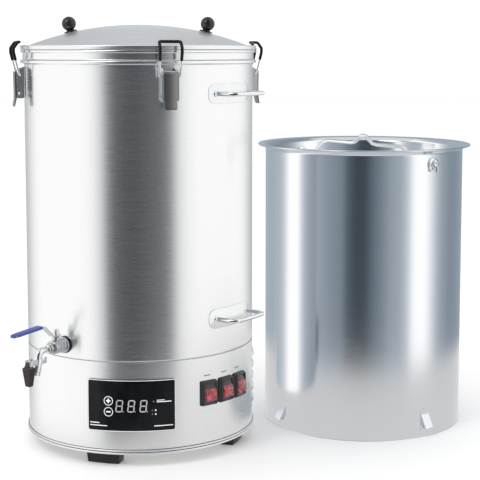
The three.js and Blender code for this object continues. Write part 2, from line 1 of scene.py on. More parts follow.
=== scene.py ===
"""Looks for the electric all-in-one brewer: a boiler kettle with its malt pipe beside it.

Shapes are worked out in millimetres on the front of a barrel (r outwards, t to the right, z up),
turned to their azimuth and set down on the kettle's or the pipe's axis, which the frame gives.
"""

import json
import math

import bmesh
import bpy
from mathutils import Matrix, Vector

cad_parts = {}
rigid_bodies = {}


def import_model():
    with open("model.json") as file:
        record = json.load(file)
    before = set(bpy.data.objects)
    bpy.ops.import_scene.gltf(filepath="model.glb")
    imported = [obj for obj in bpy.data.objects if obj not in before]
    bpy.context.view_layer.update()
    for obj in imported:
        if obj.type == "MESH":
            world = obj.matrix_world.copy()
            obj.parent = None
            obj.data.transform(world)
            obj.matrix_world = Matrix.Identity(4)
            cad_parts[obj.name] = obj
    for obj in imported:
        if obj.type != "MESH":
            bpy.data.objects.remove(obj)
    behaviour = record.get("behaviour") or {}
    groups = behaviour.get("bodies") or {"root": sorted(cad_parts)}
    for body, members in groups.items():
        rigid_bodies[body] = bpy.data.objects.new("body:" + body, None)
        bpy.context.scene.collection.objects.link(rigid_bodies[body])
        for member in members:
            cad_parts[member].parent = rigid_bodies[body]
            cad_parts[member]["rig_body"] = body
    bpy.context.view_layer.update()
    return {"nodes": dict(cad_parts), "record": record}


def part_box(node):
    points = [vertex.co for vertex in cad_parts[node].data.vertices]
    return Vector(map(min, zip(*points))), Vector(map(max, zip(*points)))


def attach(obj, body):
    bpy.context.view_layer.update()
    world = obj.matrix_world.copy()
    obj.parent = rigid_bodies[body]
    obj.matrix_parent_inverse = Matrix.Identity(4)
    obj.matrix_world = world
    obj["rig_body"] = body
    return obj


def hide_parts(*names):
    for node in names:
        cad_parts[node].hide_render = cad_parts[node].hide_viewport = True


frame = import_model()

# ---------------------------------------------------------------- places, from the frame
MM = 0.001


def middle(node):
    low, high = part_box(node)
    return (low + high) / 2


def axis_of(node):
    centre = middle(node)
    return Vector((centre.x, centre.y, 0))


KETTLE = axis_of("lid")
PIPE = axis_of("malt_pipe")
KETTLE_R = 165.0  # outside of the barrel
PLATE_BACK = KETTLE_R + 0.5  # fitted plates stand just off the barrel
PLATE_FACE = KETTLE_R + 2.1
WALL_CUT = (150, 175)  # radii that reach through the barrel's wall
SEAM_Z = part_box("skirt")[1].z / MM
PANEL_LOW, PANEL_HIGH = (corner.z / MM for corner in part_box("control_panel"))

LATCH_AZIMUTHS = (18.4, 108.4, 198.4, 288.4)
SWITCH_AZIMUTHS = (38.4, 49.2, 60)
FEET_AZIMUTHS = (-16, 74, 164, 254)
HANDLES = {"handle_upper_right": 56, "handle_lower_right": 56,
           "handle_upper_left": 236, "handle_lower_left": 236}
KNOB_AZIMUTHS = (-85, 95)
TAB_AZIMUTHS = (-56.5, 33.5, 123.5, 213.5)
BUTTON_AZIMUTH = -10.7
VALVE_AZIMUTH = -34.7
PIPE_HANDLE_AZIMUTH = 37
SWITCH_Z = middle("switch_housing_1").z / MM
VALVE_Z = 165.0
STEM_R = 182.0
STRAP_Z = 180.0  # underside of the tap's lever
EYELET_Z = middle("pipe_eyelet_1").z / MM

# ---------------------------------------------------------------- shape helpers
ROUND = 192  # facets of the big shells


def front(r, t, z):
    """A point on the front of a barrel: r outwards, t to the right."""
    return Vector((t, -r, z))


def polar(r, angle, z):
    """A point round a barrel, at an angle from the front."""
    return Vector((math.sin(angle) * r, -math.cos(angle) * r, z))


def soften(corners, radius=0.0, steps=4, closed=True, size=2):
    """Corner points with each corner rounded; a corner's own radius may follow its coordinates."""
    points = [Vector(c[:size]) for c in corners]
    result = []
    count = len(points)
    for i, here in enumerate(points):
        own = corners[i][size] if len(corners[i]) > size else radius
        if own <= 0 or (not closed and i in (0, count - 1)):
            result.append(here)
            continue
        before = points[i - 1] - here
        after = points[(i + 1) % count] - here
        inside = before.angle(after)
        if inside > 3.1:
            result.append(here)
            continue
        reach = min(own / math.tan(inside / 2), 0.48 * before.length, 0.48 * after.length)
        start = here + before.normalized() * reach
        end = here + after.normalized() * reach
        for k in range(steps + 1):
            s = k / steps
            result.append(start.lerp(here, s).lerp(here.lerp(end, s), s))
    return result


def circle(radius, sides, u=0.0, v=0.0):
    return [(u + radius * math.cos(a), v + radius * math.sin(a))
            for a in (2 * math.pi * k / sides for k in range(sides))]


def band(one, two, sides):
    """Faces between two rings of points, which start at the indices one and two."""
    return [(one + k, one + (k + 1) % sides, two + (k + 1) % sides, two + k) for k in range(sides)]


def mesh_of(points, faces):
    shape = bmesh.new()
    corners = [shape.verts.new(p) for p in points]
    for face in faces:
        shape.faces.new([corners[i] for i in face])
    return shape


def turned(outline, facets=ROUND):
    """Solid of revolution about Z from a closed outline of (r, z); points on the axis are poles."""
    points, faces, rows = [], [], []
    for r, z in ((p[0], p[1]) for p in outline):
        if r < 1e-6:
            rows.append([len(points)] * facets)
            points.append(Vector((0, 0, z)))
            continue
        rows.append(list(range(len(points), len(points) + facets)))
        points += [Vector((*place, z)) for place in circle(r, facets)]
    for i, row in enumerate(rows):
        after = rows[(i + 1) % len(rows)]
        if row[0] == row[1] and after[0] == after[1]:
            continue
        for k in range(facets):
            n = (k + 1) % facets
            ring = [row[k], row[n], after[n], after[k]]
            faces.append(list(dict.fromkeys(ring)))
    return mesh_of(points, faces)


def tube(path, radius, sides=16, closed=False):
    """Round wire along a path, with softly rounded ends."""
    path = [Vector(p) for p in path]
    count = len(path)
    tangents = []
    for i in range(count):
        before = path[i - 1] if closed or i else path[0]
        after = path[(i + 1) % count] if closed or i < count - 1 else path[-1]
        tangents.append((after - before).normalized())
    side = tangents[0].orthogonal().normalized()
    rings = []
    for i, here in enumerate(path):
        side = (side - tangents[i] * side.dot(tangents[i])).normalized()
        up = tangents[i].cross(side)
        scales = [(0, 1)]
        if not closed and i in (0, count - 1):
            scales = [(0, 0.7), (0.12, 0.92), (0.35, 1)]
            if i:
                scales = [(-along, scale) for along, scale in reversed(scales)]
        for along, scale in scales:
            centre = here + tangents[i] * along * radius
            rings.append([
                centre + (side * math.cos(a) + up * math.sin(a)) * radius * scale
                for a in (2 * math.pi * k / sides for k in range(sides))
            ])
    points = [p for ring in rings for p in ring]
    faces = []
    for i in range(len(rings) if closed else len(rings) - 1):
        faces += band(i * sides, (i + 1) % len(rings) * sides, sides)
    if not closed:
        faces.append(list(range(sides))[::-1])
        faces.append(list(range(len(points) - sides, len(points))))
    return mesh_of(points, faces)


def wire_path(corners, steps=8):
    """A wire's line through (x, y, z) corners; a fourth number rounds the corner."""
    return soften(corners, 0, steps, closed=False, size=3)


def rod(start, end, radius, sides=40):
    return tube([start, end], radius, sides)


def drill(t, z, radius, reach=WALL_CUT, sides=40):
    """A rod that points outwards, from one radius to another."""
    return rod(front(reach[0], t, z), front(reach[1], t, z), radius, sides)


def prism(outline, low, high, put):
    """An outline of (u, v) points drawn out from low to high; put(u, v, w) gives the place in space."""
    count = len(outline)
    points = [put(p[0], p[1], w) for w in (low, high) for p in outline]
    ends = [list(range(count))[::-1], list(range(count, 2 * count))]
    return mesh_of(points, ends + band(0, count, count))


def slab(outline, back, face):
    """Front outline of (t, z) points, from radius back to radius face."""
    return prism(outline, back, face, lambda t, z, r: front(r, t, z))


def cheek(outline, t0, t1):
    """Side outline of (r, z) points, from t0 to t1."""
    return prism(outline, t0, t1, lambda r, z, t: front(r, t, z))


def block(t0, t1, r0, r1, z0, z1):
    return slab([(t0, z0), (t1, z0), (t1, z1), (t0, z1)], r0, r1)


def rectangle(half_width, low, high, radius, steps=6):
    corners = [(-half_width, low), (half_width, low), (half_width, high), (-half_width, high)]
    return soften(corners, radius, steps)


def bevelled(shape, width, segments=2, angle=30):
    """Softens every edge that is sharper than the angle."""
    bmesh.ops.recalc_face_normals(shape, faces=shape.faces)
    edges = [e for e in shape.edges
             if len(e.link_faces) == 2 and e.calc_face_angle(0) > math.radians(angle)]
    bmesh.ops.bevel(shape, geom=edges, offset=width, segments=segments, profile=0.6,
                    affect="EDGES", clamp_overlap=True)
    return shape


def sliced(shape, places, normal=(1, 0, 0)):
    """Cuts edges across the shape at several places, so that it can be bent there."""
    for place in places:
        bmesh.ops.bisect_plane(shape, geom=shape.verts[:] + shape.edges[:] + shape.faces[:],
                               plane_co=Vector(normal) * place, plane_no=normal, dist=1e-5)
    return shape


def bent(shape, step=2.5):
    """Wraps a flat plate on the front round the barrel: its width becomes the arc."""
    xs = [v.co.x for v in shape.verts]
    low, high = min(xs), max(xs)
    places = [low + k * step for k in range(1, max(2, round((high - low) / step)))]
    sliced(shape, [x for x in places if x < high])
    for vertex in shape.verts:
        vertex.co = polar(-vertex.co.y, vertex.co.x / KETTLE_R, vertex.co.z)
    return shape


def as_mesh(name, shape):
    bmesh.ops.recalc_face_normals(shape, faces=shape.faces)
    mesh = bpy.data.meshes.new(name)
    shape.to_mesh(mesh)
    shape.free()
    return mesh


def in_scene(name, data):
    obj = bpy.data.objects.new(name, data)
    bpy.context.scene.collection.objects.link(obj)
    return obj


def joined(*shapes):
    """Several closed shapes in one."""
    whole = bmesh.new()
    for shape in shapes:
        mesh = as_mesh("part", shape)
        whole.from_mesh(mesh)
        bpy.data.meshes.remove(mesh)
    return whole


def moved(shape, matrix):
    shape.transform(matrix)
    return shape


def turned_to(shape, azimuth):
    return moved(shape, Matrix.Rotation(math.radians(azimuth), 4, "Z"))


def tipped(shape, pivot, *turns):
    """Turns a shape about a point: degrees and axis of each turn, the last one first."""
    matrix = Matrix.Translation(pivot)
    for degrees, axis in turns:
        matrix = matrix @ Matrix.Rotation(math.radians(degrees), 4, axis)
    return moved(shape, matrix @ Matrix.Translation(-pivot))


def facing_out(place):
    """Stands what was made round the z axis on the front, pointing outwards."""
    return Matrix.Translation(place) @ Matrix.Rotation(math.radians(90), 4, "X")


def combined(base, others, operation="DIFFERENCE"):
    """Cuts the other closed shapes from the base, or adds them to it."""
    target, *tools = (in_scene("scratch", as_mesh("scratch", shape)) for shape in (base, *others))
    for tool in tools:
        modifier = target.modifiers.new("combine", "BOOLEAN")
        modifier.operation = operation
        modifier.solver = "EXACT"
        modifier.object = tool
    evaluated = target.evaluated_get(bpy.context.evaluated_depsgraph_get())
    result = bmesh.new()
    result.from_mesh(evaluated.to_mesh())
    evaluated.to_mesh_clear()
    for obj in (target, *tools):
        mesh = obj.data
        bpy.data.objects.remove(obj)
        bpy.data.meshes.remove(mesh)
    return result


# ---------------------------------------------------------------- material helpers
def add_node(tree, kind, *first, **named):
    """A shader node whose inputs, in order or by name, are linked to an output or set to a value."""
    node = tree.nodes.new("ShaderNode" + kind)
    inputs = [(node.inputs[k], value) for k, value in enumerate(first)]
    inputs += [(node.inputs[key], value) for key, value in named.items()]
    for socket, value in inputs:
        if isinstance(value, bpy.types.NodeSocket):
            tree.links.new(value, socket)
        else:
            socket.default_value = value
    return node


def math_node(tree, operation, *values):
    node = add_node(tree, "Math", *values)
    node.operation = operation
    return node.outputs[0]


def vector_node(tree, operation, *values):
    node = add_node(tree, "VectorMath", *values)
    node.operation = operation
    return node


def place_node(tree):
    """Object coordinates, which are metres in the frame."""
    return add_node(tree, "TexCoord").outputs["Object"]


def noise(tree, vector, scale, detail=3.0):
    node = add_node(tree, "TexNoise", Vector=vector, Scale=scale, Detail=detail, Roughness=0.6)
    return node.outputs["Fac"]


def stretched(tree, vector, scale):
    return vector_node(tree, "MULTIPLY", vector, scale).outputs[0]


def ramp(tree, value, low, high, low_out=0.0, high_out=1.0):
    return add_node(tree, "MapRange", value, low, high, low_out, high_out).outputs["Result"]


def new_material(name, color, roughness, metallic=0.0, **settings):
    material = bpy.data.materials.new(name)
    material.use_nodes = True
    shader = material.node_tree.nodes["Principled BSDF"]
    settings.update(Base_Color=(*color, 1), Roughness=roughness, Metallic=metallic)
    for key, value in settings.items():
        shader.inputs[key.replace("_", " ")].default_value = value
    return material, material.node_tree, shader


def set_color(tree, shader, factor, one, two):
    """Base colour between two colours."""
    node = add_node(tree, "Mix", factor)
    node.data_type = "RGBA"
    node.inputs[6].default_value = (*one, 1)
    node.inputs[7].default_value = (*two, 1)
    tree.links.new(node.outputs[2], shader.inputs["Base Color"])


def set_roughness(tree, shader, value, low, high, smooth, rough):
    tree.links.new(ramp(tree, value, low, high, smooth, rough), shader.inputs["Roughness"])


def set_bump(tree, shader, height, strength, distance):
    node = add_node(tree, "Bump", Strength=strength, Distance=distance, Height=height)
    tree.links.new(node.outputs["Normal"], shader.inputs["Normal"])


def ring_place(tree, centre):
    """Place round a vertical axis: turns along the brushing, then radius and height across it."""
    split = add_node(tree, "SeparateXYZ", place_node(tree))
    x = math_node(tree, "SUBTRACT", split.outputs["X"], centre.x)
    y = math_node(tree, "SUBTRACT", split.outputs["Y"], centre.y)
    squares = [math_node(tree, "MULTIPLY", side, side) for side in (x, y)]
    radius = math_node(tree, "SQRT", math_node(tree, "ADD", *squares))
    angle = math_node(tree, "ARCTAN2", y, x)
    return add_node(tree, "CombineXYZ", angle, radius, split.outputs["Z"]).outputs[0]


# ---------------------------------------------------------------- materials
def brushed_shell(name, centre, color, roughness):
    """Sheet brushed round the barrel: fine rings of scratches with faint longer patches."""
    material, tree, shader = new_material(name, color, roughness, 1.0,
                                          Anisotropic=0.55, Anisotropic_Rotation=0.25)
    place = ring_place(tree, centre)
    scratches = noise(tree, stretched(tree, place, (3.0, 2200, 2200)), 1.0, 2.0)
    patches = noise(tree, stretched(tree, place, (6.0, 60, 60)), 1.0, 3.0)
    both = math_node(tree, "ADD", math_node(tree, "MULTIPLY", scratches, 0.88),
                     math_node(tree, "MULTIPLY", patches, 0.12))
    darker = [c * 0.975 for c in color]
    set_color(tree, shader, ramp(tree, scratches, 0.3, 0.7), darker, color)
    set_roughness(tree, shader, both, 0.3, 0.7, roughness * 0.8, roughness * 1.25)
    set_bump(tree, shader, scratches, 0.04, 0.00003)
    return material


def polished_steel():
    material, tree, shader = new_material("polished_steel", (0.80, 0.80, 0.80), 0.14, 1.0)
    place = place_node(tree)
    marks = noise(tree, stretched(tree, place, (900, 900, 140)), 1.0, 3.0)
    set_color(tree, shader, noise(tree, place, 60), (0.74, 0.74, 0.745), (0.84, 0.84, 0.84))
    set_roughness(tree, shader, marks, 0.25, 0.75, 0.08, 0.22)
    set_bump(tree, shader, marks, 0.05, 0.00003)
    return material


def grained_metal(name, dark, light, smooth, rough, grain_size, depth):
    """Metal with an even grain: its grey and its roughness each run between two values."""
    material, tree, shader = new_material(name, [light] * 3, rough, 1.0)
    grain = noise(tree, place_node(tree), grain_size, 3.0)
    set_color(tree, shader, grain, [dark] * 3, [light] * 3)
    set_roughness(tree, shader, grain, 0.3, 0.7, smooth, rough)
    set_bump(tree, shader, grain, depth, 0.0001)
    return material


def moulded(name, color, roughness, grain_size=1800, depth=0.00006, **settings):
    """Moulded plastic or rubber: a fine cast grain and a little unevenness in its gloss."""
    material, tree, shader = new_material(name, color, roughness, **settings)
    place = place_node(tree)
    grain = noise(tree, place, grain_size, 2.0)
    cloud = noise(tree, place, 45, 3.0)
    lighter = [min(1, c * 1.25 + 0.004) for c in color]
    set_color(tree, shader, ramp(tree, cloud, 0.35, 0.65), color, lighter)
    set_roughness(tree, shader, cloud, 0.3, 0.7, roughness * 0.85, min(1, roughness * 1.15))
    set_bump(tree, shader, grain, 0.25, depth)
    return material


def patterned(name, color, roughness, scale, detail, edges, dark, light, depth, **settings):
    """Plastic or board whose colour changes along a stretched noise, with a little relief in it; on the
    red lens the light colour is a painted highlight.
    """
    material, tree, shader = new_material(name, color, roughness, **settings)
    pattern = noise(tree, stretched(tree, place_node(tree), scale), 1.0, detail)
    set_color(tree, shader, ramp(tree, pattern, *edges), dark, light)
    set_bump(tree, shader, pattern, *depth)
    return material


SHELL = brushed_shell("brushed_shell", KETTLE, (0.84, 0.84, 0.835), 0.24)
SKIRT = brushed_shell("brushed_skirt", KETTLE, (0.84, 0.84, 0.835), 0.3)
LID = brushed_shell("brushed_lid", KETTLE, (0.80, 0.81, 0.82), 0.3)
PIPE_SHELL = brushed_shell("brushed_pipe", PIPE, (0.74, 0.75, 0.77), 0.17)
STEEL = polished_steel()
DULL = grained_metal("dull_metal", 0.38, 0.52, 0.38, 0.6, 900, 0.1)
CAST = grained_metal("cast_metal", 0.50, 0.64, 0.24, 0.42, 700, 0.15)
PRESSED = grained_metal("pressed_steel", 0.24, 0.30, 0.26, 0.34, 1500, 0.05)
BLACK = moulded("black_plastic", (0.008, 0.008, 0.009), 0.34)
# Black rubber for the feet; also the painted shade in the base flange's grooves.
RUBBER_AND_GROOVE_SHADE = moulded("black_rubber", (0.012, 0.011, 0.012), 0.5, 1200, 0.00012,
                 Specular_IOR_Level=0.25)
KNOB = moulded("knob_plastic", (0.007, 0.008, 0.010), 0.22, 700, 0.00003)
SLEEVE = moulded("bail_sleeve", (0.004, 0.004, 0.004), 0.32, Specular_IOR_Level=0.2)
GLOSS = moulded("panel_gloss", (0.004, 0.0045, 0.006), 0.06, 600, 0.00001,
                Specular_IOR_Level=0.16)
BLUE = moulded("blue_sleeve", (0.028, 0.052, 0.27), 0.3, 900, 0.00004)
GRIP = moulded("grip_rubber", (0.012, 0.004, 0.004), 0.4, 1200, 0.0001)
SILICONE = moulded("silicone", (0.72, 0.72, 0.69), 0.5)
PRINT = moulded("print_white", (0.78, 0.78, 0.78), 0.5)
DIGIT = moulded("digit_grey", (0.42, 0.42, 0.42), 0.5)
# Grey for labels and dots; also the painted shade at the skirt's seam.
LABEL_AND_SEAM_SHADE = moulded("label_grey_and_seam_shade", (0.2, 0.2, 0.2), 0.5)
STEP_GREY = moulded("step_grey", (0.02, 0.02, 0.021), 0.25)
# Deep red with light pink streaks along the noise: the streaks are painted highlights of the lamp lit
# inside.
RED = patterned("red_lens", (0.62, 0.03, 0.045), 0.12, (160, 160, 260), 2.0, (0.45, 0.68),
                (0.17, 0.005, 0.010), (0.62, 0.07, 0.08), (0.15, 0.0002),
                Coat_Weight=0.6, Coat_Roughness=0.05)
BOARD = patterned("board_green", (0.02, 0.14, 0.05), 0.4, (300, 300, 120), 1.0, (0.48, 0.52),
                  (0.015, 0.12, 0.04), (0.03, 0.2, 0.07), (0.1, 0.0001))

SLOTS = {part["node"]: part["material_slot"] for part in frame["record"]["subparts"]}


# ---------------------------------------------------------------- setting pieces down
def detail_on(node, name, shape, material, centre=KETTLE, azimuth=0.0, sharp=32):
    """A piece that belongs to a CAD node: it rides on the same body."""
    body, slot = frame["nodes"][node]["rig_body"], SLOTS[node]
    mesh = as_mesh(name, shape)
    mesh.transform(Matrix.Translation(centre) @ Matrix.Rotation(math.radians(azimuth), 4, "Z")
                   @ Matrix.Scale(MM, 4))
    mesh.shade_smooth()
    mesh.set_sharp_from_angle(angle=math.radians(sharp))
    mesh.materials.append(material)
    obj = in_scene(name, mesh)
    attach(obj, body)
    return obj


def stands_for(node, shape, material, **where):
    """A finer piece in the place of a CAD node."""
    obj = detail_on(node, node + "_shape", shape, material, **where)
    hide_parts(node)
    return obj


def true_round(obj, centre):
    """Gives the upright faces of a cut barrel the normals of a true cylinder."""
    mesh = obj.data
    normals = [Vector(n.vector) for n in mesh.corner_normals]
    for face in mesh.polygons:
        outwards = face.center - centre
        outwards.z = 0
        outwards.normalize()
        facing = face.normal.dot(outwards)
        if abs(facing) < 0.995:
            continue
        for k in face.loop_indices:
            place = mesh.vertices[mesh.loops[k].vertex_index].co - centre
            place.z = 0
            normals[k] = place.normalized() * math.copysign(1, facing)
    mesh.normals_split_custom_set(normals)


# ---------------------------------------------------------------- boiler shells
def make_vessel():
    outline = soften([
        (0, 138), (162.6, 138, 0.8), (162.6, 147.3, 0.3), (KETTLE_R, 147.8, 1.3),
        (KETTLE_R, 550.2, 1.5), (170.6, 550.6, 2.1), (170.6, 554.9, 2.1), (167, 556.4, 1.2),
        (167, 565.6, 0.8), (170, 565.8, 1.6), (170, 569.7, 1.9), (166.2, 569.7, 0.8),
        (166.2, 556.6, 1), (164.2, 549, 1), (164.2, 150, 1), (161.8, 148.4, 0.6),
        (161.8, 139.2, 1.5), (0, 139.2),
    ])
    tap_hole = turned_to(drill(0, VALVE_Z, 7.9), VALVE_AZIMUTH)
    shell = stands_for("vessel", combined(turned(outline), [tap_hole]), SHELL)
    true_round(shell, KETTLE)


def louvre(z):
    """Pressed hood over a slot: open below, dying out to both sides and above."""
    half, lift, low, high = 21.5, 3.0, z - 2.6, z + 6.6
    across, upwards = 28, 8
    points = []
    for inset in (0, 0.8):
        for i in range(across + 1):
            s = -1 + 2 * i / across
            swell = (1 - abs(s) ** 3) ** 0.8
            for j in range(upwards + 1):
                v = j / upwards
                bulge = lift * swell * math.cos(v * math.pi / 2) ** 0.7
                radius = KETTLE_R - 0.5 + bulge - inset
                points.append(polar(radius, s * half / KETTLE_R, low + (high - low) * v))
    row = upwards + 1
    layer = (across + 1) * row
    faces = []
    for i in range(across):
        for j in range(upwards):
            quad = [i * row + j, (i + 1) * row + j, (i + 1) * row + j + 1, i * row + j + 1]
            faces += [quad, [layer + k for k in reversed(quad)]]
    rims = [(i * row + j, (i + 1) * row + j) for i in range(across) for j in (0, upwards)]
    rims += [(i * row + j, i * row + j + 1) for i in (0, across) for j in range(upwards)]
    faces += [[one, two, layer + two, layer + one] for one, two in rims]
    return mesh_of(points, faces)


def make_skirt():
    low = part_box("skirt")[0].z / MM
    outline = soften([
        (164, low), (KETTLE_R, low, 0.3), (KETTLE_R, SEAM_Z - 0.1, 1.0), (164, SEAM_Z - 0.1, 0.2),
    ])
    rows = [56 + 17 * k for k in range(5)]
    cutters = [slab(rectangle(43, 67, 104, 3), *WALL_CUT)]
    cutters += [turned_to(block(-12.2, 12.2, *WALL_CUT, SWITCH_Z - 15.4, SWITCH_Z + 15.4), azimuth)
                for azimuth in SWITCH_AZIMUTHS]
    cutters.append(turned_to(block(-15.4, 15.4, *WALL_CUT, 67.6, 92.4), 180))
    cutters += [turned_to(block(-18, 18, *WALL_CUT, z - 2.2, z + 2.2), 90) for z in rows]
    shell = stands_for("skirt", combined(turned(outline), cutters), SKIRT)
    true_round(shell, KETTLE)
    # A dark grey ring filling the gap at the seam: painted shade for the dark line between skirt and
    # vessel.
    gap_shade = turned([(164.2, SEAM_Z - 0.6), (KETTLE_R + 0.1, SEAM_Z - 0.6),
                   (KETTLE_R + 0.1, SEAM_Z + 0.2), (164.2, SEAM_Z + 0.2)])
    detail_on("skirt", "skirt_seam_shade", gap_shade, LABEL_AND_SEAM_SHADE)
    hoods = joined(*[louvre(z) for z in rows])
    detail_on("skirt", "skirt_louvres", hoods, SKIRT, azimuth=90, sharp=50)


def make_base():
    under, top = (corner.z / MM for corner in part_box("base_plate"))
    outline = soften([
        (0, under), (165.9, under, 0.5), (167.2, under + 0.6, 0.9), (167.2, under + 2.2, 0.7),
        (166.2, under + 2.7, 0.2), (165.5, under + 2.7, 0.1), (165.5, under + 3.9, 0.1),
        (166.2, under + 3.9, 0.2), (167.2, under + 4.4, 0.7), (167.2, top - 1.5, 0.7),
        (166.2, top - 1.0, 0.3), (165.5, top - 1.0, 0.1), (165.5, top, 0.1), (164.9, top, 0.1),
        (164.9, under + 1.4, 0.8), (0, under + 1.4),
    ])
    slots = [turned_to(block(-3, 3, 45, 95, under - 2, under + 4), 45 * k) for k in range(8)]
    stands_for("base_plate", combined(turned(outline), slots), SKIRT)
    # Rings of the black rubber set in the flange's two grooves: painted shade for the dark lines there.
    groove_shades = [turned([(165.4, low), (166, low), (166, high), (165.4, high)])
             for low, high in ((under + 2.8, under + 3.8), (top - 0.9, top - 0.1))]
    detail_on("base_plate", "base_plate_groove_shade", joined(*groove_shades), RUBBER_AND_GROOVE_SHADE)


def foot():
    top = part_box("foot_1")[1].z / MM
    shape = slab([(-23, 0), (23, 0), (24.5, top), (-24.5, top)], 131, 156)
    sliced(shape, [2.8 * k for k in range(-8, 9)])
    for vertex in shape.verts:
        if vertex.co.y < -140:
            reach = 151 + 2.5 * vertex.co.z / top
            vertex.co.y = -math.sqrt(reach ** 2 - vertex.co.x ** 2)
    bevelled(shape, 1.4, 3, 40)
    well = rod(front(143, 0, -1), front(143, 0, 10), 4)
    return combined(shape, [well])


def make_feet():
    for k, azimuth in enumerate(FEET_AZIMUTHS, 1):
        stands_for(f"foot_{k}", foot(), RUBBER_AND_GROOVE_SHADE, azimuth=azimuth, sharp=40)


# ---------------------------------------------------------------- lid
DOME_SPHERE = 434.0
DOME_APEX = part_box("lid")[1].z / MM


def dome_height(r, sphere=DOME_SPHERE):
    return DOME_APEX - DOME_SPHERE + math.sqrt(sphere ** 2 - r ** 2)


def make_lid():
    radii = [8 * k for k in range(21)]
    outer = [(r, dome_height(r)) for r in radii]
    inner = [(r, dome_height(r, DOME_SPHERE - 0.9)) for r in reversed(radii)]
    rim = soften([
        outer[-1], (163.6, 574.6, 1.5), (165.6, 576.2, 1.5), (169.3, 576.2, 1.2), (170.5, 575, 1.2),
        (170.5, 570.1, 0.6), (167.7, 570.1, 0.4), (167.4, 573.2, 0.8), (163.4, 573.2, 0.8), inner[0],
    ], closed=False)
    stands_for("lid", turned(outer[:-1] + rim + inner[1:]), LID)
    seal = turned(soften([(161.8, 565), (165.7, 565), (165.7, 573), (163.2, 573)], 0.8))
    stands_for("lid_seal", seal, SILICONE)


def knob():
    ball_r, ball_z = 10.3, 12.7
    profile = soften([(0, 0.3), (9.8, 0.3), (9.8, 1.7, 1.0), (5.0, 3.2, 1.5), (4.7, 5.4, 0.6)],
                     0.0, 4, closed=False)
    start = math.radians(-60)
    arc = [start + (math.pi / 2 - start) * k / 16 for k in range(17)]
    profile += [Vector((ball_r * math.cos(a), ball_z + ball_r * math.sin(a))) for a in arc[:-1]]
    profile.append(Vector((0, ball_z + ball_r)))
    return turned(profile, 48)


def make_knobs():
    reach = 97.5
    slope = math.asin(reach / DOME_SPHERE)
    lean = Matrix.Translation((0, -reach, dome_height(reach))) @ Matrix.Rotation(slope, 4, "X")
    for k, azimuth in enumerate(KNOB_AZIMUTHS, 1):
        stands_for(f"lid_knob_{k}", moved(knob(), lean), KNOB, azimuth=azimuth, sharp=45)


# ---------------------------------------------------------------- carrying handles
def handle(z):
    plate = slab(rectangle(48.5, z - 14, z + 14, 14, 12), PLATE_BACK, PLATE_FACE)
    bent(bevelled(plate, 0.7, 2))
    half = [(166, 36.3), (186, 36.3, 3), (196.5, 32, 9), (197.4, 0, 40)]
    corners = [(t, -r, z, *rest) for r, t, *rest in half]
    mirrored = [(-t, -r, z, *rest) for r, t, *rest in half[:-1]]
    bar = tube(wire_path(corners + mirrored[::-1]), 3.0, 20)
    welds = []
    for t in (-36.3, 36.3):
        r = math.sqrt(PLATE_FACE ** 2 - t ** 2)
        collar = turned(soften([(2.4, -1), (4.6, -1, 0.3), (4.3, 0.2, 0.8), (3.0, 1.5, 0.3),
                                (2.4, 1.5)]), 24)
        welds.append(moved(collar, facing_out(front(r, t, z))))
    return joined(plate, bar, *welds)


def make_handles():
    for name, azimuth in HANDLES.items():
        stands_for(name, handle(middle(name).z / MM), STEEL, azimuth=azimuth)


# ---------------------------------------------------------------- latches
LEVER_PIVOT = (172, 540)
BAIL_PIVOT = (175, 534)
LOCK_HOLE = (174.5, 508.5)
SLEEVE_Z = 555.0  # lower ends of the bail's sleeve


def cross_bar(place, reach, radius, sides=20):
    r, z = place
    return rod(front(r, -reach, z), front(r, reach, z), radius, sides)


def latch_bracket():
    plate = bevelled(slab(rectangle(10, 500, 546, 2), 165.5, 166.6), 0.3, 1)
    ear = soften([(166.2, 533), (174.8, 537.6, 2), (174.8, 542.4, 2), (166.2, 546)])
    ears = [cheek(ear, t, t + 1.4) for t in (-9.4, 8)]
    rivets = [drill(t, z, 1.9, (166.4, 167.5), 16) for t in (-5, 5) for z in (508, 526)]
    return joined(plate, *ears, cross_bar(LEVER_PIVOT, 11.6, 1.4), *rivets)


def latch_lever():
    side = soften([(167.6, 544, 1.5), (172, 544, 2.5), (178.8, 539.5, 2), (178.8, 501.5, 2),
                   (168.4, 501.5, 3)])
    flanges = [bevelled(cheek(side, t, t + 1.2), 0.3, 1) for t in (-11.9, 10.7)]
    flanges = [combined(flange, [cross_bar(LOCK_HOLE, 14, 2.6), cross_bar(BAIL_PIVOT, 14, 1.9)])
               for flange in flanges]
    shoulder = cheek([(177.6, 502), (178.8, 502), (178.8, 539.5), (177.6, 539.5)], -11.9, 11.9)
    bevelled(shoulder, 0.3, 1)
    profile = soften([(178, 539.5), (181.4, 539.5, 1.4), (180.8, 502, 7), (182.8, 490, 0.6),
                      (181.6, 490, 0.4), (178, 505, 3)])
    front_outline = slab(rectangle(8.5, 490, 539.5, 3), 170, 190)
    face = combined(cheek(profile, -9, 9), [front_outline], "INTERSECT")
    return joined(*flanges, shoulder), bevelled(face, 0.4, 2, 50)


def bail_path():
    r, z = BAIL_PIVOT
    half = [
        (9.4, -r, z), (13.2, -r, z, 1), (14.4, -r - 1.2, z + 3, 2), (15, -183.2, 566, 6),
        (15, -183.2, 572, 3), (14.8, -177.6, 579.8, 2.4), (12.4, -174.6, 580.6, 1.2),
    ]
    mirrored = [(-c[0], *c[1:]) for c in reversed(half)]
    return wire_path(half + mirrored)


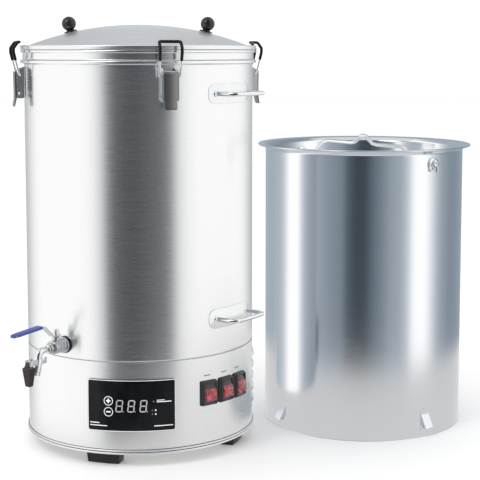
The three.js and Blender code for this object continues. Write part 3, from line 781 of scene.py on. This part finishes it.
def make_latches():
    for k, azimuth in enumerate(LATCH_AZIMUTHS, 1):
        stands_for(f"latch_bracket_{k}", latch_bracket(), STEEL, azimuth=azimuth)
        channel, face = latch_lever()
        stands_for(f"latch_lever_{k}", channel, STEEL, azimuth=azimuth, sharp=40)
        detail_on(f"latch_lever_{k}", f"latch_lever_face_{k}", face, PRESSED, azimuth=azimuth,
                  sharp=40)
        path = bail_path()
        covered = [p for p in path if p.z > SLEEVE_Z]
        last = path[path.index(covered[0]) - 1]
        start = last.lerp(covered[0], (SLEEVE_Z - last.z) / (covered[0].z - last.z))
        end = Vector((-start.x, start.y, start.z))
        sleeve, wire = tube([start, *covered, end], 2.15, 16), tube(path, 1.5, 14)
        stands_for(f"latch_bail_{k}", sleeve, SLEEVE, azimuth=azimuth)
        detail_on(f"latch_bail_{k}", f"latch_bail_wire_{k}", wire, STEEL, azimuth=azimuth)


# ---------------------------------------------------------------- control panel
def mark(outline, lift=0.12):
    return slab(outline, PLATE_FACE - 0.1, PLATE_FACE + lift)


def digit(t0, z0, width, height, slant=0.11):
    """A seven-segment eight with its point, drawn as bars with pointed ends."""
    half, gap = 0.75, 0.25
    w, h = width - 2 * half, height - 2 * half
    low, mid, top = ([Vector((0, z)), Vector((w, z))] for z in (0, h / 2, h))
    bars = [low, mid, top, *zip(low, mid), *zip(mid, top)]
    shapes = []
    for a, b in bars:
        along = (b - a).normalized()
        across = Vector((-along.y, along.x))
        a, b = a + along * gap, b - along * gap
        outline = [a, a + along * half - across * half, b - along * half - across * half,
                   b, b - along * half + across * half, a + along * half + across * half]
        placed = [(t0 + half + p.x + slant * p.y, z0 + half + p.y) for p in outline]
        shapes.append(mark(placed))
    return [*shapes, spot(t0 + width + 1.2, z0 + 0.8, 0.75, 10)]


def ring_outline(z, inner, outer, sides=40):
    rings = [circle(radius, sides, 0, z) for radius in (outer, inner)]
    outside, inside = (ring + ring[:1] for ring in rings)
    return outside + inside[::-1]


def spot(t, z, radius, sides=16):
    return mark(circle(radius, sides, t, z))


def make_panel():
    half = KETTLE_R * math.radians(21.2)
    plate = slab(rectangle(half, PANEL_LOW, PANEL_HIGH, 4), PLATE_BACK, PLATE_FACE)
    bevelled(plate, 0.35, 2)
    buttons = {"plus_button": 93.5, "minus_button": 78.3}
    t_button = KETTLE_R * math.radians(BUTTON_AZIMUTH)
    holes = [drill(t_button, z, 6.85) for z in buttons.values()]
    shell = stands_for("control_panel", bent(combined(plate, holes)), GLOSS, sharp=40)
    true_round(shell, KETTLE)

    outside, inside = (rectangle(half - inset, PANEL_LOW + inset, PANEL_HIGH - inset, 4 - inset)
                       for inset in (0.35, 1.15))
    prints = [mark([*outside, outside[0], inside[0], *inside[::-1]], 0.08)]
    prints += [spot(33.2, z, 1.0) for z in (80.4, 75)]
    dashes = [(34.7, 54.8, 91.2, 92.4), (34.7, 45.5, 93.6, 94.6), (-57.5, -33, 57.8, 59),
              (-57.5, -44, 61.6, 62.8), (31, 57, 57.8, 59)]
    prints += [block(t0, t1, PLATE_FACE - 0.1, PLATE_FACE + 0.12, z0, z1) for t0, t1, z0, z1 in dashes]
    detail_on("control_panel", "panel_print", bent(joined(*prints)), PRINT)
    faint = [spot(30.4, 92.7, 0.9), spot(28.6, 80.4, 0.7), spot(28.6, 75, 0.7)]
    detail_on("control_panel", "panel_dots", bent(joined(*faint)), LABEL_AND_SEAM_SHADE)
    digits = [s for t in (-21.6, -5.4, 11.0) for s in digit(t, 78, 9.6, 17)]
    detail_on("control_panel", "panel_digits", bent(joined(*digits)), DIGIT)

    for name, z in buttons.items():
        top = KETTLE_R + 2.7
        cap = turned(soften([(0, 158), (6.5, 158), (6.5, top, 0.6), (0, top)]), 40)
        stands_for(name, moved(cap, facing_out((0, 0, z))), GLOSS, azimuth=BUTTON_AZIMUTH, sharp=40)
        strokes = [block(-3.1, 3.1, 167, KETTLE_R + 2.85, z - 0.95, z + 0.95),
                   slab(ring_outline(z, 5.5, 6.4), 167, KETTLE_R + 2.84)]
        if name == "plus_button":
            strokes.append(block(-0.95, 0.95, 167, KETTLE_R + 2.86, z - 3.1, z + 3.1))
        detail_on(name, name + "_sign", joined(*strokes), PRINT, azimuth=BUTTON_AZIMUTH)


# ---------------------------------------------------------------- rocker switches
ROCKER_PIN_R = 164.0
ROCKER_TILT = 11.0


def switch_housing():
    z = SWITCH_Z
    bezel = bevelled(slab(rectangle(13.6, z - 17.5, z + 17.5, 2.5), 165.4, 170.4), 0.8, 2)
    collar = bevelled(slab(rectangle(12.3, z - 16.2, z + 16.2, 2), 169.8, 173.4), 0.8, 2)
    body = block(-11.8, 11.8, 146, 166, z - 15, z + 15)
    whole = combined(bezel, [collar, body], "UNION")
    well = slab(rectangle(9.9, z - 14.3, z + 14.3, 1), 151, 180)
    return combined(whole, [well])


def rocker_lens():
    """The lit part of the rocker: its lower face, raised with a soft crown."""
    side = soften([(173.4, 4.4, 0.8), (175.6, 2.6, 1.2), (175.2, -11.9, 1.6), (171.8, -12.6, 1.2),
                   (164, -11.2), (163, 4.4)])
    return bevelled(cheek(side, -9.1, 9.1), 0.7, 2, 40)


def rocker_steps():
    """The pressed-in upper face, in three steps."""
    shapes = []
    for k in range(3):
        low = 4.5 + 2.9 * k
        shapes.append(bevelled(cheek([(164, low), (173.6 - 0.9 * k, low), (172.9 - 0.9 * k, low + 2.7),
                                      (164, low + 2.7)], -9.1, 9.1), 0.4, 2, 40))
    core = cheek([(172, 12.8), (171, 0), (171.6, -12.4), (164, -11.2), (157.5, -3.5), (157.5, 3.5),
                  (164, 11.2)], -9.2, 9.2)
    return joined(*shapes, core, rod(front(ROCKER_PIN_R, -11, 0), front(ROCKER_PIN_R, 11, 0), 1.4, 16))


def make_switches():
    lean = (Matrix.Translation(front(ROCKER_PIN_R, 0, SWITCH_Z))
            @ Matrix.Rotation(math.radians(-ROCKER_TILT), 4, "X")
            @ Matrix.Translation(-front(ROCKER_PIN_R, 0, 0)))
    for k, azimuth in enumerate(SWITCH_AZIMUTHS, 1):
        stands_for(f"switch_housing_{k}", switch_housing(), BLACK, azimuth=azimuth)
        stands_for(f"switch_rocker_{k}", moved(rocker_lens(), lean), RED, azimuth=azimuth)
        detail_on(f"switch_rocker_{k}", f"switch_rocker_{k}_steps", moved(rocker_steps(), lean),
                  STEP_GREY, azimuth=azimuth)
        tag = bent(block(-5.5, 5.5, KETTLE_R - 0.1, KETTLE_R + 0.1, 119.6, 121.2))
        detail_on("skirt", f"switch_label_{k}", tag, LABEL_AND_SEAM_SHADE, azimuth=azimuth)


# ---------------------------------------------------------------- power inlet
def make_inlet():
    z = middle("power_inlet").z / MM
    flange = slab(rectangle(25, z - 15, z + 15, 5), PLATE_BACK, KETTLE_R + 2.6)
    bent(bevelled(flange, 0.6, 2))
    body = block(-15, 15, 140, 167, z - 12, z + 12)
    keyed = [(-12.2, -8), (12.2, -8), (12.2, 4.5), (8.5, 8), (-8.5, 8), (-12.2, 4.5)]
    socket = slab([(t, z + v) for t, v in keyed], 144, 180)
    wells = [drill(t, z, 1.8, (160, 175), 20) for t in (-20, 20)]
    shell = combined(combined(flange, [body], "UNION"), [socket, *wells])
    stands_for("power_inlet", shell, BLACK, azimuth=180)
    blades = [bevelled(block(t - 1, t + 1, 143, 161, z + v - 2.5, z + v + 2.5), 0.3, 1)
              for t, v in ((-7, -2), (0, 2), (7, -2))]
    screws = [drill(t, z, 1.7, (161, 168.2), 20) for t in (-20, 20)]
    detail_on("power_inlet", "inlet_contacts", joined(*blades, *screws), STEEL, azimuth=180)


# ---------------------------------------------------------------- tap
COUPLER_PIN = (234.5, 151.5)


def along_axis(outline, sides=48):
    """Solid of revolution on the tap's axis from (radius, distance out) points."""
    return moved(turned(outline, sides), facing_out((0, 0, VALVE_Z)))


def on_tap(node, shape, material, sharp=32):
    stands_for(node, shape, material, azimuth=VALVE_AZIMUTH, sharp=sharp)


def make_tap():
    barrel = along_axis(soften([
        (4.6, 167.5), (11.4, 167.5, 0.4), (11.4, 170.4, 0.5), (9.6, 171.2, 0.4), (9.6, 173.6, 0.2),
        (9.0, 174.0, 0.2), (9.0, 175.6, 0.2), (9.6, 176.0, 0.3), (9.6, 190.4, 0.6), (8.4, 191.5, 0.4),
        (4.6, 191.5),
    ], 0, 2))
    nipple = along_axis([(4.6, 156), (7.4, 156), (7.4, 168), (4.6, 168)])
    boss = rod(front(STEM_R, 0, VALVE_Z + 6), front(STEM_R, 0, VALVE_Z + 14.5), 5)
    outlet = prism(circle(7.6, 6), 191, 197, lambda u, v, w: front(w, u, v + VALVE_Z))
    on_tap("valve_body", joined(barrel, nipple, boss, bevelled(outlet, 0.5, 2)), CAST)
    washer = along_axis(soften([(7.6, 165.5), (12, 165.5, 0.4), (12, 167.2, 0.5), (7.6, 167.2)]))
    on_tap("valve_washer", washer, SLEEVE)

    z = STRAP_Z
    strap = cheek(soften([
        (176, z), (190, z, 4), (196.5, z + 6, 5), (208, z + 16.4, 6), (262, z + 13),
        (262, z + 15), (207.4, z + 18.6, 6), (195, z + 7.6, 5), (189.4, z + 2, 4), (176, z + 2),
    ]), -4.5, 4.5)
    nut = prism(circle(4.8, 6), z + 2.1, z + 9.4, lambda u, v, w: Vector((u, v - STEM_R, w)))
    flange = turned(soften([(0, 2), (6, 2), (6, 3.2, 0.4), (0, 3.2)]), 32)
    moved(flange, Matrix.Translation((0, -STEM_R, z)))
    on_tap("valve_lever", joined(bevelled(strap, 0.35, 1, 50), bevelled(nut, 0.7, 2), flange), STEEL)
    inner, outer = (212, z + 17.35), (265, z + 13.85)
    half = 2.1
    sleeve = cheek([(inner[0], inner[1] - half), (outer[0], outer[1] - half),
                    (outer[0], outer[1] + half), (inner[0], inner[1] + half)], -5.4, 5.4)
    sliced(sleeve, [-inner[0] - 4.4 * k for k in range(1, 12)], (0, 1, 0))
    for vertex in sleeve.verts:
        beyond = -vertex.co.y - 256
        if beyond > 0:
            vertex.co.x *= 1 - 0.035 * beyond
    on_tap("valve_grip", bevelled(sleeve, 1.3, 3), BLUE, 50)

    path = wire_path([
        (0, -197.3, VALVE_Z), (0, -207, VALVE_Z, 3), (0, -212, VALVE_Z - 0.8, 3),
        (0, -215, VALVE_Z - 3.2, 2), (0, -216.5, VALVE_Z - 6.4, 3), (0, -219.2, VALVE_Z - 17),
    ], 6)
    collar = prism(circle(6.4, 6), 197.3, 200.5, lambda u, v, w: front(w, u, v + VALVE_Z))
    on_tap("spout", joined(tube(path, 4.7, 32), bevelled(collar, 0.4, 2)), STEEL)


def tapered_pad(outline, back, face):
    """A slab whose two faces draw together towards its lower end."""
    shape = slab(outline, back, face)
    for vertex in shape.verts:
        drop = COUPLER_PIN[1] - 5 - vertex.co.z
        lean = 0.085 if vertex.co.y > -COUPLER_PIN[0] else -0.123
        vertex.co.y -= lean * drop
    return shape


def make_coupler():
    top, end = front(217.3, 0, VALVE_Z - 9.5), front(223, 0, VALVE_Z - 31.5)
    length = (top - end).length
    outline = soften([
        (5.3, 0), (6.6, 0, 0.5), (6.6, 2.4, 0.3), (6.1, 2.7, 0.2), (6.1, 3.6, 0.2), (6.6, 3.9, 0.3),
        (6.6, length, 0.6), (5.3, length),
    ], 0, 2)
    slots = [turned_to(block(-0.8, 0.8, 5.9, 8, 5.5, 14.5), azimuth)
             for azimuth in (0, 28, 56, 84, -28)]
    tilt = Vector((0, 0, 1)).rotation_difference(top - end).to_matrix().to_4x4()
    sleeve = moved(combined(turned(outline, 40), slots), Matrix.Translation(end) @ tilt)
    r, z = COUPLER_PIN
    lug = bevelled(block(-3.5, 3.5, 204, 213, z - 4, z + 4.6), 0.6, 2)
    ears = [bevelled(block(t, t + 1.6, 222.6, 237.5, z - 3.5, z + 4.6), 0.5, 1) for t in (-5.2, 3.6)]
    pin = rod(front(r, -6, z), front(r, 6, z), 1.1, 16)
    on_tap("coupler", joined(sleeve, lug, *ears, pin), STEEL)

    arm = cheek(soften([(r - 2, z + 1.8, 1.4), (r + 2.4, z + 1.8, 1.4), (r + 7.2, z - 5, 1),
                        (r + 6.6, z - 6.6), (r - 4.5, z - 6.6)]), -3.2, 3.2)
    outline = soften([(-7, z - 5, 1.6), (7, z - 5, 1.6), (6.6, z - 10, 3), (3.8, z - 31, 1.4),
                      (-3.8, z - 31, 1.4), (-6.6, z - 10, 3)])
    pad = bevelled(tapered_pad(outline, r - 5.2, r + 6.4), 0.5, 2, 50)
    ribs = []
    for k in range(-2, 3):
        one, two = 2.6 * k, 1.5 * k
        outline = [(one - 0.8, z - 6.2), (one + 0.8, z - 6.2), (two + 0.6, z - 30), (two - 0.6, z - 30)]
        ribs.append(bevelled(tapered_pad(outline, r + 5, r + 7.6), 0.4, 2, 50))
    on_tap("coupler_latch", joined(arm, pad, *ribs), GRIP)


# ---------------------------------------------------------------- malt pipe
PIPE_R = 151.0
LEDGE_Z = 6.6


def make_pipe():
    inner = PIPE_R - 0.8
    outline = soften([
        (inner, 0), (PIPE_R, 0, 0.3), (PIPE_R, 419.4, 5), (156, 423.3, 5), (162.2, 424.4, 1.2),
        (163, 426, 0.9), (161.6, 427, 0.8), (154.8, 425.2, 5), (inner, 419.9, 5),
        (inner, LEDGE_Z + 1, 0.8), (139, LEDGE_Z + 1, 0.2), (139, LEDGE_Z), (inner, LEDGE_Z, 0.6),
    ])
    cutters, flaps = [], []
    for k, azimuth in enumerate(TAB_AZIMUTHS):
        side = 1 if k % 2 == 0 else -1
        window = [(side * t, z) for t, z in ((-8, 34), (-8, 12.6), (3, 12.6), (8.2, 21), (8.2, 34))]
        slit = block(side * 8 - 0.55, side * 8 + 0.55, 140, 158, -1, 38.5)
        hole = drill(side * 2.5, 42, 1.3, (140, 158), 20)
        cutters += [turned_to(cutter, azimuth) for cutter in (slab(window, 140, 158), slit, hole)]
        flap = bevelled(block(-7.4, 7.4, PIPE_R - 1.0, PIPE_R, 12.4, 34.8), 0.25, 1)
        tipped(flap, front(PIPE_R - 0.5, 0, 34), (-23, "X"), (side * 6, "Y"))
        flaps.append(turned_to(flap, azimuth))
    for azimuth in (PIPE_HANDLE_AZIMUTH, PIPE_HANDLE_AZIMUTH + 180):
        cutters.append(turned_to(drill(0, EYELET_Z, 4.6, (140, 165), 32), azimuth))
    shell = stands_for("malt_pipe", combined(turned(outline), cutters), PIPE_SHELL, centre=PIPE)
    true_round(shell, PIPE)
    detail_on("malt_pipe", "malt_pipe_tabs", joined(*flaps), PIPE_SHELL, centre=PIPE)


def eyelet():
    """Grommet with a rolled lip on each side of the wall."""
    outline = soften([
        (4.6, 148.2), (8.6, 148.2, 0.8), (8.6, 149.6, 0.2), (5.4, 149.8), (5.4, 151.2),
        (9.9, 151.3, 0.3), (9.9, 152.6, 1.0), (6.6, 153.6, 1.2), (4.6, 152.9, 0.8),
    ])
    return moved(turned(outline, 48), facing_out((0, 0, EYELET_Z)))


def make_pipe_handle():
    half = [
        (158.6, -11), (158.6, -2.5, 4.5), (153.5, 0.2, 3), (141, 0, 6), (133, -2.6, 8), (124, -2.4, 8),
        (112, 5, 6), (93, 19.6, 8), (84, 21.6, 6), (30, 21.6, 10), (20, 23, 8), (4.5, 33.6, 6),
    ]
    right = [(0, -u, EYELET_Z + h, *rest) for u, h, *rest in half]
    left = [(0, u, EYELET_Z + h, *rest) for u, h, *rest in half]
    wire = tube(wire_path(right + left[::-1], 6), 2.95, 20)
    stands_for("pipe_handle", wire, STEEL, centre=PIPE, azimuth=PIPE_HANDLE_AZIMUTH)
    for k, azimuth in ((1, PIPE_HANDLE_AZIMUTH), (2, PIPE_HANDLE_AZIMUTH + 180)):
        stands_for(f"pipe_eyelet_{k}", eyelet(), STEEL, centre=PIPE, azimuth=azimuth)


def make_screen():
    """Perforated sheet: hexagonal cells, each with a round hole, inside a plain turned-up rim."""
    low = LEDGE_Z + 1.3
    pitch, hole, edge = 6.4, 1.7, 146.5
    corner = pitch / math.sqrt(3)
    points, faces = [], []
    rows = int(edge / (pitch * 0.866)) + 1
    for row in range(-rows, rows + 1):
        for column in range(-rows - 2, rows + 3):
            x = (column + 0.5 * (row % 2)) * pitch
            y = row * pitch * math.sqrt(3) / 2
            if math.hypot(x, y) > edge - pitch * 0.6:
                continue
            start = len(points)
            for reaches in ((corner, pitch / 2), (hole, hole)):
                for k in range(12):
                    a, reach = math.pi * k / 6 + math.pi / 6, reaches[k % 2]
                    points.append(Vector((x + reach * math.cos(a), y + reach * math.sin(a), low + 0.5)))
            faces += band(start, start + 12, 12)
    sheet = mesh_of(points, faces)
    bmesh.ops.remove_doubles(sheet, verts=sheet.verts, dist=0.02)
    bmesh.ops.recalc_face_normals(sheet, faces=sheet.faces)
    bmesh.ops.solidify(sheet, geom=sheet.faces[:], thickness=0.7)
    rim = turned(soften([(139, low), (149.3, low, 0.8), (149.3, low + 3, 0.3), (148.5, low + 3, 0.3),
                         (148.5, low + 1.1, 0.8), (139, low + 1.1, 0.4)]))
    stands_for("pipe_screen", joined(sheet, rim), PIPE_SHELL, centre=PIPE)


# ---------------------------------------------------------------- inner parts keep their CAD shape
INNER = {
    "heater_plate": DULL, "heating_element_1": DULL, "heating_element_2": DULL,
    "heating_element_3": DULL, "thermal_cutout": BLACK, "temperature_sensor": DULL,
    "display_module": BLACK, "control_board": BOARD, "valve_inner_nut": STEEL, "valve_ball": STEEL,
}


def dress_inner_parts():
    for node, material in INNER.items():
        mesh = frame["nodes"][node].data
        mesh.materials.clear()
        mesh.materials.append(material)


# ---------------------------------------------------------------- studio
REFLECTED_ONLY = ("camera", "diffuse", "transmission", "shadow")  # rays that pass by


def stage_object(name, points, faces, material, unseen):
    """A part of the studio, in metres, with the kinds of ray that pass by it."""
    mesh = bpy.data.meshes.new(name)
    mesh.from_pydata(points, [], faces)
    mesh.materials.append(material)
    obj = in_scene(name, mesh)
    for ray in unseen:
        setattr(obj, "visible_" + ray, False)
    return obj


def stage_square(name, size, z, material, unseen):
    half = size / 2
    corners = [(-half, -half, z), (half, -half, z), (half, half, z), (-half, half, z)]
    return stage_object(name, corners, [(0, 1, 2, 3)], material, unseen)


def stage_drum(name, centre, radius, low, high, sides, material):
    """An open upright drum that only reflections see."""
    ring = circle(radius, sides, centre.x, centre.y)
    points = [(*point, z) for z in (low, high) for point in ring]
    return stage_object(name, points, band(0, sides, sides), material, REFLECTED_ONLY)


def glow(name, strength):
    """A shining material: its tree, its emission and the socket of its surface come with it."""
    material = bpy.data.materials.new(name)
    material.use_nodes = True
    tree = material.node_tree
    tree.nodes.clear()
    surface = add_node(tree, "OutputMaterial").inputs["Surface"]
    return material, tree, add_node(tree, "Emission", Strength=strength), surface


def make_floor():
    material, tree, shader = new_material("pale_floor", (0.93, 0.93, 0.93), 0.7, Specular_IOR_Level=0.2)
    set_color(tree, shader, noise(tree, place_node(tree), 30), (0.92, 0.92, 0.92), (0.94, 0.94, 0.94))
    stage_square("floor", 30, 0, material, ["glossy"])


def make_table():
    """What polished metal sees of the floor: bright near the object, fading to the dim room."""
    material, tree, emission, surface = glow("table_glow", 0.78)
    away = vector_node(tree, "DISTANCE", place_node(tree), PIPE).outputs["Value"]
    fade = ramp(tree, away, 0.5, 0.66)
    clear = add_node(tree, "BsdfTransparent")
    mix = add_node(tree, "MixShader", fade, emission.outputs[0], clear.outputs[0])
    tree.links.new(mix.outputs[0], surface)
    stage_square("table", 3, 0.0005, material, ["camera", "diffuse", "shadow"])


# Brightness of the studio walls by direction: degrees from the camera's side, then brightness.
KETTLE_WALLS = (
    (-180, 0.66), (-165, 0.5), (-150, 0.6), (-134, 0.93), (-120, 1.14), (-56, 1.14), (-47, 1.04),
    (-38, 0.7), (-33, 0.22), (-25, 0.08), (-6, 0.07), (4, 0.1), (14, 0.13), (24, 0.16), (30, 0.3),
    (38, 0.9), (48, 1.06), (60, 1.14), (116, 1.14), (128, 1.06), (138, 0.84), (150, 0.6), (160, 0.5),
    (180, 0.66),
)
PIPE_WALLS = (
    (-180, 0.5), (-137, 0.54), (-125, 0.72), (-117, 1.05), (-110, 1.36), (-88, 1.36), (-79, 0.9),
    (-71, 0.62), (-59, 0.44), (-45, 0.34), (-33, 0.28), (-26, 0.12), (-16, 0.06), (-6, 0.07), (3, 0.18),
    (13, 0.28), (23, 0.42), (35, 0.5), (43, 0.7), (51, 1.25), (57, 1.36), (67, 1.36), (76, 1.0),
    (84, 0.64), (94, 0.44), (108, 0.34), (120, 0.34), (150, 0.42), (180, 0.5),
)
BRIGHTEST = 1.4
WALL_TOP = 16.0
KETTLE_WALLS_R, PIPE_WALLS_R = 9.0, 9.5  # apart, as walls in one place would hide each other
CAMERA_AZIMUTH = 4.9


def studio_glow(name, levels, blue, centre=(0, 0, 0)):
    """Shine by direction from a centre, a little blue where half dark; no light is aimed from it."""
    material, tree, emission, surface = glow(name, BRIGHTEST)
    material.cycles.emission_sampling = "NONE"
    direction = vector_node(tree, "SUBTRACT", place_node(tree), centre)
    split = add_node(tree, "SeparateXYZ", direction.outputs[0])
    facing = math.radians(CAMERA_AZIMUTH)

    def along(x, y):
        return math_node(tree, "ADD", math_node(tree, "MULTIPLY", split.outputs["X"], x),
                         math_node(tree, "MULTIPLY", split.outputs["Y"], y))

    around = math_node(tree, "ARCTAN2", along(math.cos(facing), math.sin(facing)),
                       along(math.sin(facing), -math.cos(facing)))
    share = math_node(tree, "ADD", math_node(tree, "DIVIDE", around, 2 * math.pi), 0.5)
    colors = add_node(tree, "ValToRGB", share)
    stops = colors.color_ramp.elements
    for angle, level in levels:
        place = angle / 360 + 0.5
        stop = {0: stops[0], 1: stops[len(stops) - 1]}.get(place) or stops.new(place)
        bright = level / BRIGHTEST
        tint = blue * bright * (1 - bright) ** 2
        stop.color = (bright - tint, bright, bright + tint, 1)
    tree.links.new(colors.outputs["Color"], emission.inputs["Color"])
    return material, tree, emission, surface


def make_walls(name, radius, levels, blue, receivers):
    """A far round wall that only lights the reflections of the given pieces."""
    material, tree, emission, surface = studio_glow(name, levels, blue)
    clear = add_node(tree, "BsdfTransparent")
    both = add_node(tree, "AddShader", clear.outputs[0], emission.outputs[0])
    tree.links.new(both.outputs[0], surface)
    wall = stage_drum(name, Vector(), radius, -WALL_TOP, WALL_TOP, 96, material)
    group = bpy.data.collections.new(name + "_receivers")
    for obj in receivers:
        group.objects.link(obj)
    wall.light_linking.receiver_collection = group


def make_core():
    """Inside the boiler, for reflections only: keeps the tap out of the malt pipe's sheen."""
    radius, low, high = 0.15, 0.04, 0.54
    centre = PIPE + Vector((-0.11, -0.105, 0))
    material, tree, emission, surface = studio_glow("core_glow", PIPE_WALLS, 0.3, centre)
    tree.links.new(emission.outputs[0], surface)
    stage_drum("core", KETTLE, radius, low, high, 24, material)


def split_reflections():
    """Each vessel's pieces get walls of their own, and the big shells don't mirror each other."""
    pieces = [obj for obj in bpy.context.scene.objects if obj.type == "MESH"]
    of_pipe = [obj for obj in pieces if obj.name.startswith(("malt_pipe", "pipe_"))]
    of_kettle = [obj for obj in pieces if obj not in of_pipe]
    make_walls("kettle_walls", KETTLE_WALLS_R, KETTLE_WALLS, 0.1, of_kettle)
    make_walls("pipe_walls", PIPE_WALLS_R, PIPE_WALLS, 0.3, of_pipe)
    unseen = ("vessel_shape", "skirt_", "base_plate", "handle_", "switch_", "malt_pipe", "valve_grip",
              "power_inlet", "inlet_", "foot_", "coupler")
    for obj in pieces:
        if obj.name.startswith(unseen) or obj.name in INNER:
            obj.visible_glossy = False


def make_world():
    """Even light on everything, and for reflections a dark room under a bright ceiling."""
    world = bpy.data.worlds.new("studio")
    bpy.context.scene.world = world
    world.use_nodes = True
    tree = world.node_tree
    tree.nodes.clear()
    split = add_node(tree, "SeparateXYZ", add_node(tree, "TexCoord").outputs["Generated"])
    brightness = ramp(tree, split.outputs["Z"], 0.83, 0.88, 0.0, 0.95)
    ceiling = add_node(tree, "Background", (0.93, 0.97, 1.0, 1), brightness)
    plain = add_node(tree, "Background", (1, 1, 1, 1), 1.16)
    glossy = add_node(tree, "LightPath").outputs["Is Glossy Ray"]
    pick = add_node(tree, "MixShader", glossy, plain.outputs[0], ceiling.outputs[0])
    add_node(tree, "OutputWorld", pick.outputs[0])


def area_light(name, place, target, size, power):
    light = bpy.data.lights.new(name, "AREA")
    light.shape = "DISK"
    light.size = size
    light.energy = power
    obj = in_scene(name, light)
    obj.location = place
    obj.rotation_euler = (Vector(target) - Vector(place)).to_track_quat("-Z", "Y").to_euler()
    obj.visible_camera = False


def make_camera():
    distance, height = 1.900, 0.570
    yaw, pitch = math.radians(-0.46), math.radians(5.74)
    data = bpy.data.cameras.new("camera")
    data.lens = 97.3
    data.shift_y = -0.125
    data.clip_end = 60
    camera = in_scene("camera", data)
    camera.location = KETTLE + polar(distance, math.radians(CAMERA_AZIMUTH), height)
    camera.rotation_euler = (math.pi / 2 - pitch, 0, -yaw)
    bpy.context.scene.camera = camera


make_camera()
make_vessel()
make_skirt()
make_base()
make_feet()
make_lid()
make_knobs()
make_handles()
make_latches()
make_panel()
make_switches()
make_inlet()
make_tap()
make_coupler()
make_pipe()
make_pipe_handle()
make_screen()
dress_inner_parts()
split_reflections()
make_core()
make_floor()
make_table()
make_world()
area_light("key", (-1.3, -1.6, 2.2), (0, 0, 0.3), 1.2, 14)
bpy.context.scene.view_settings.view_transform = "Standard"
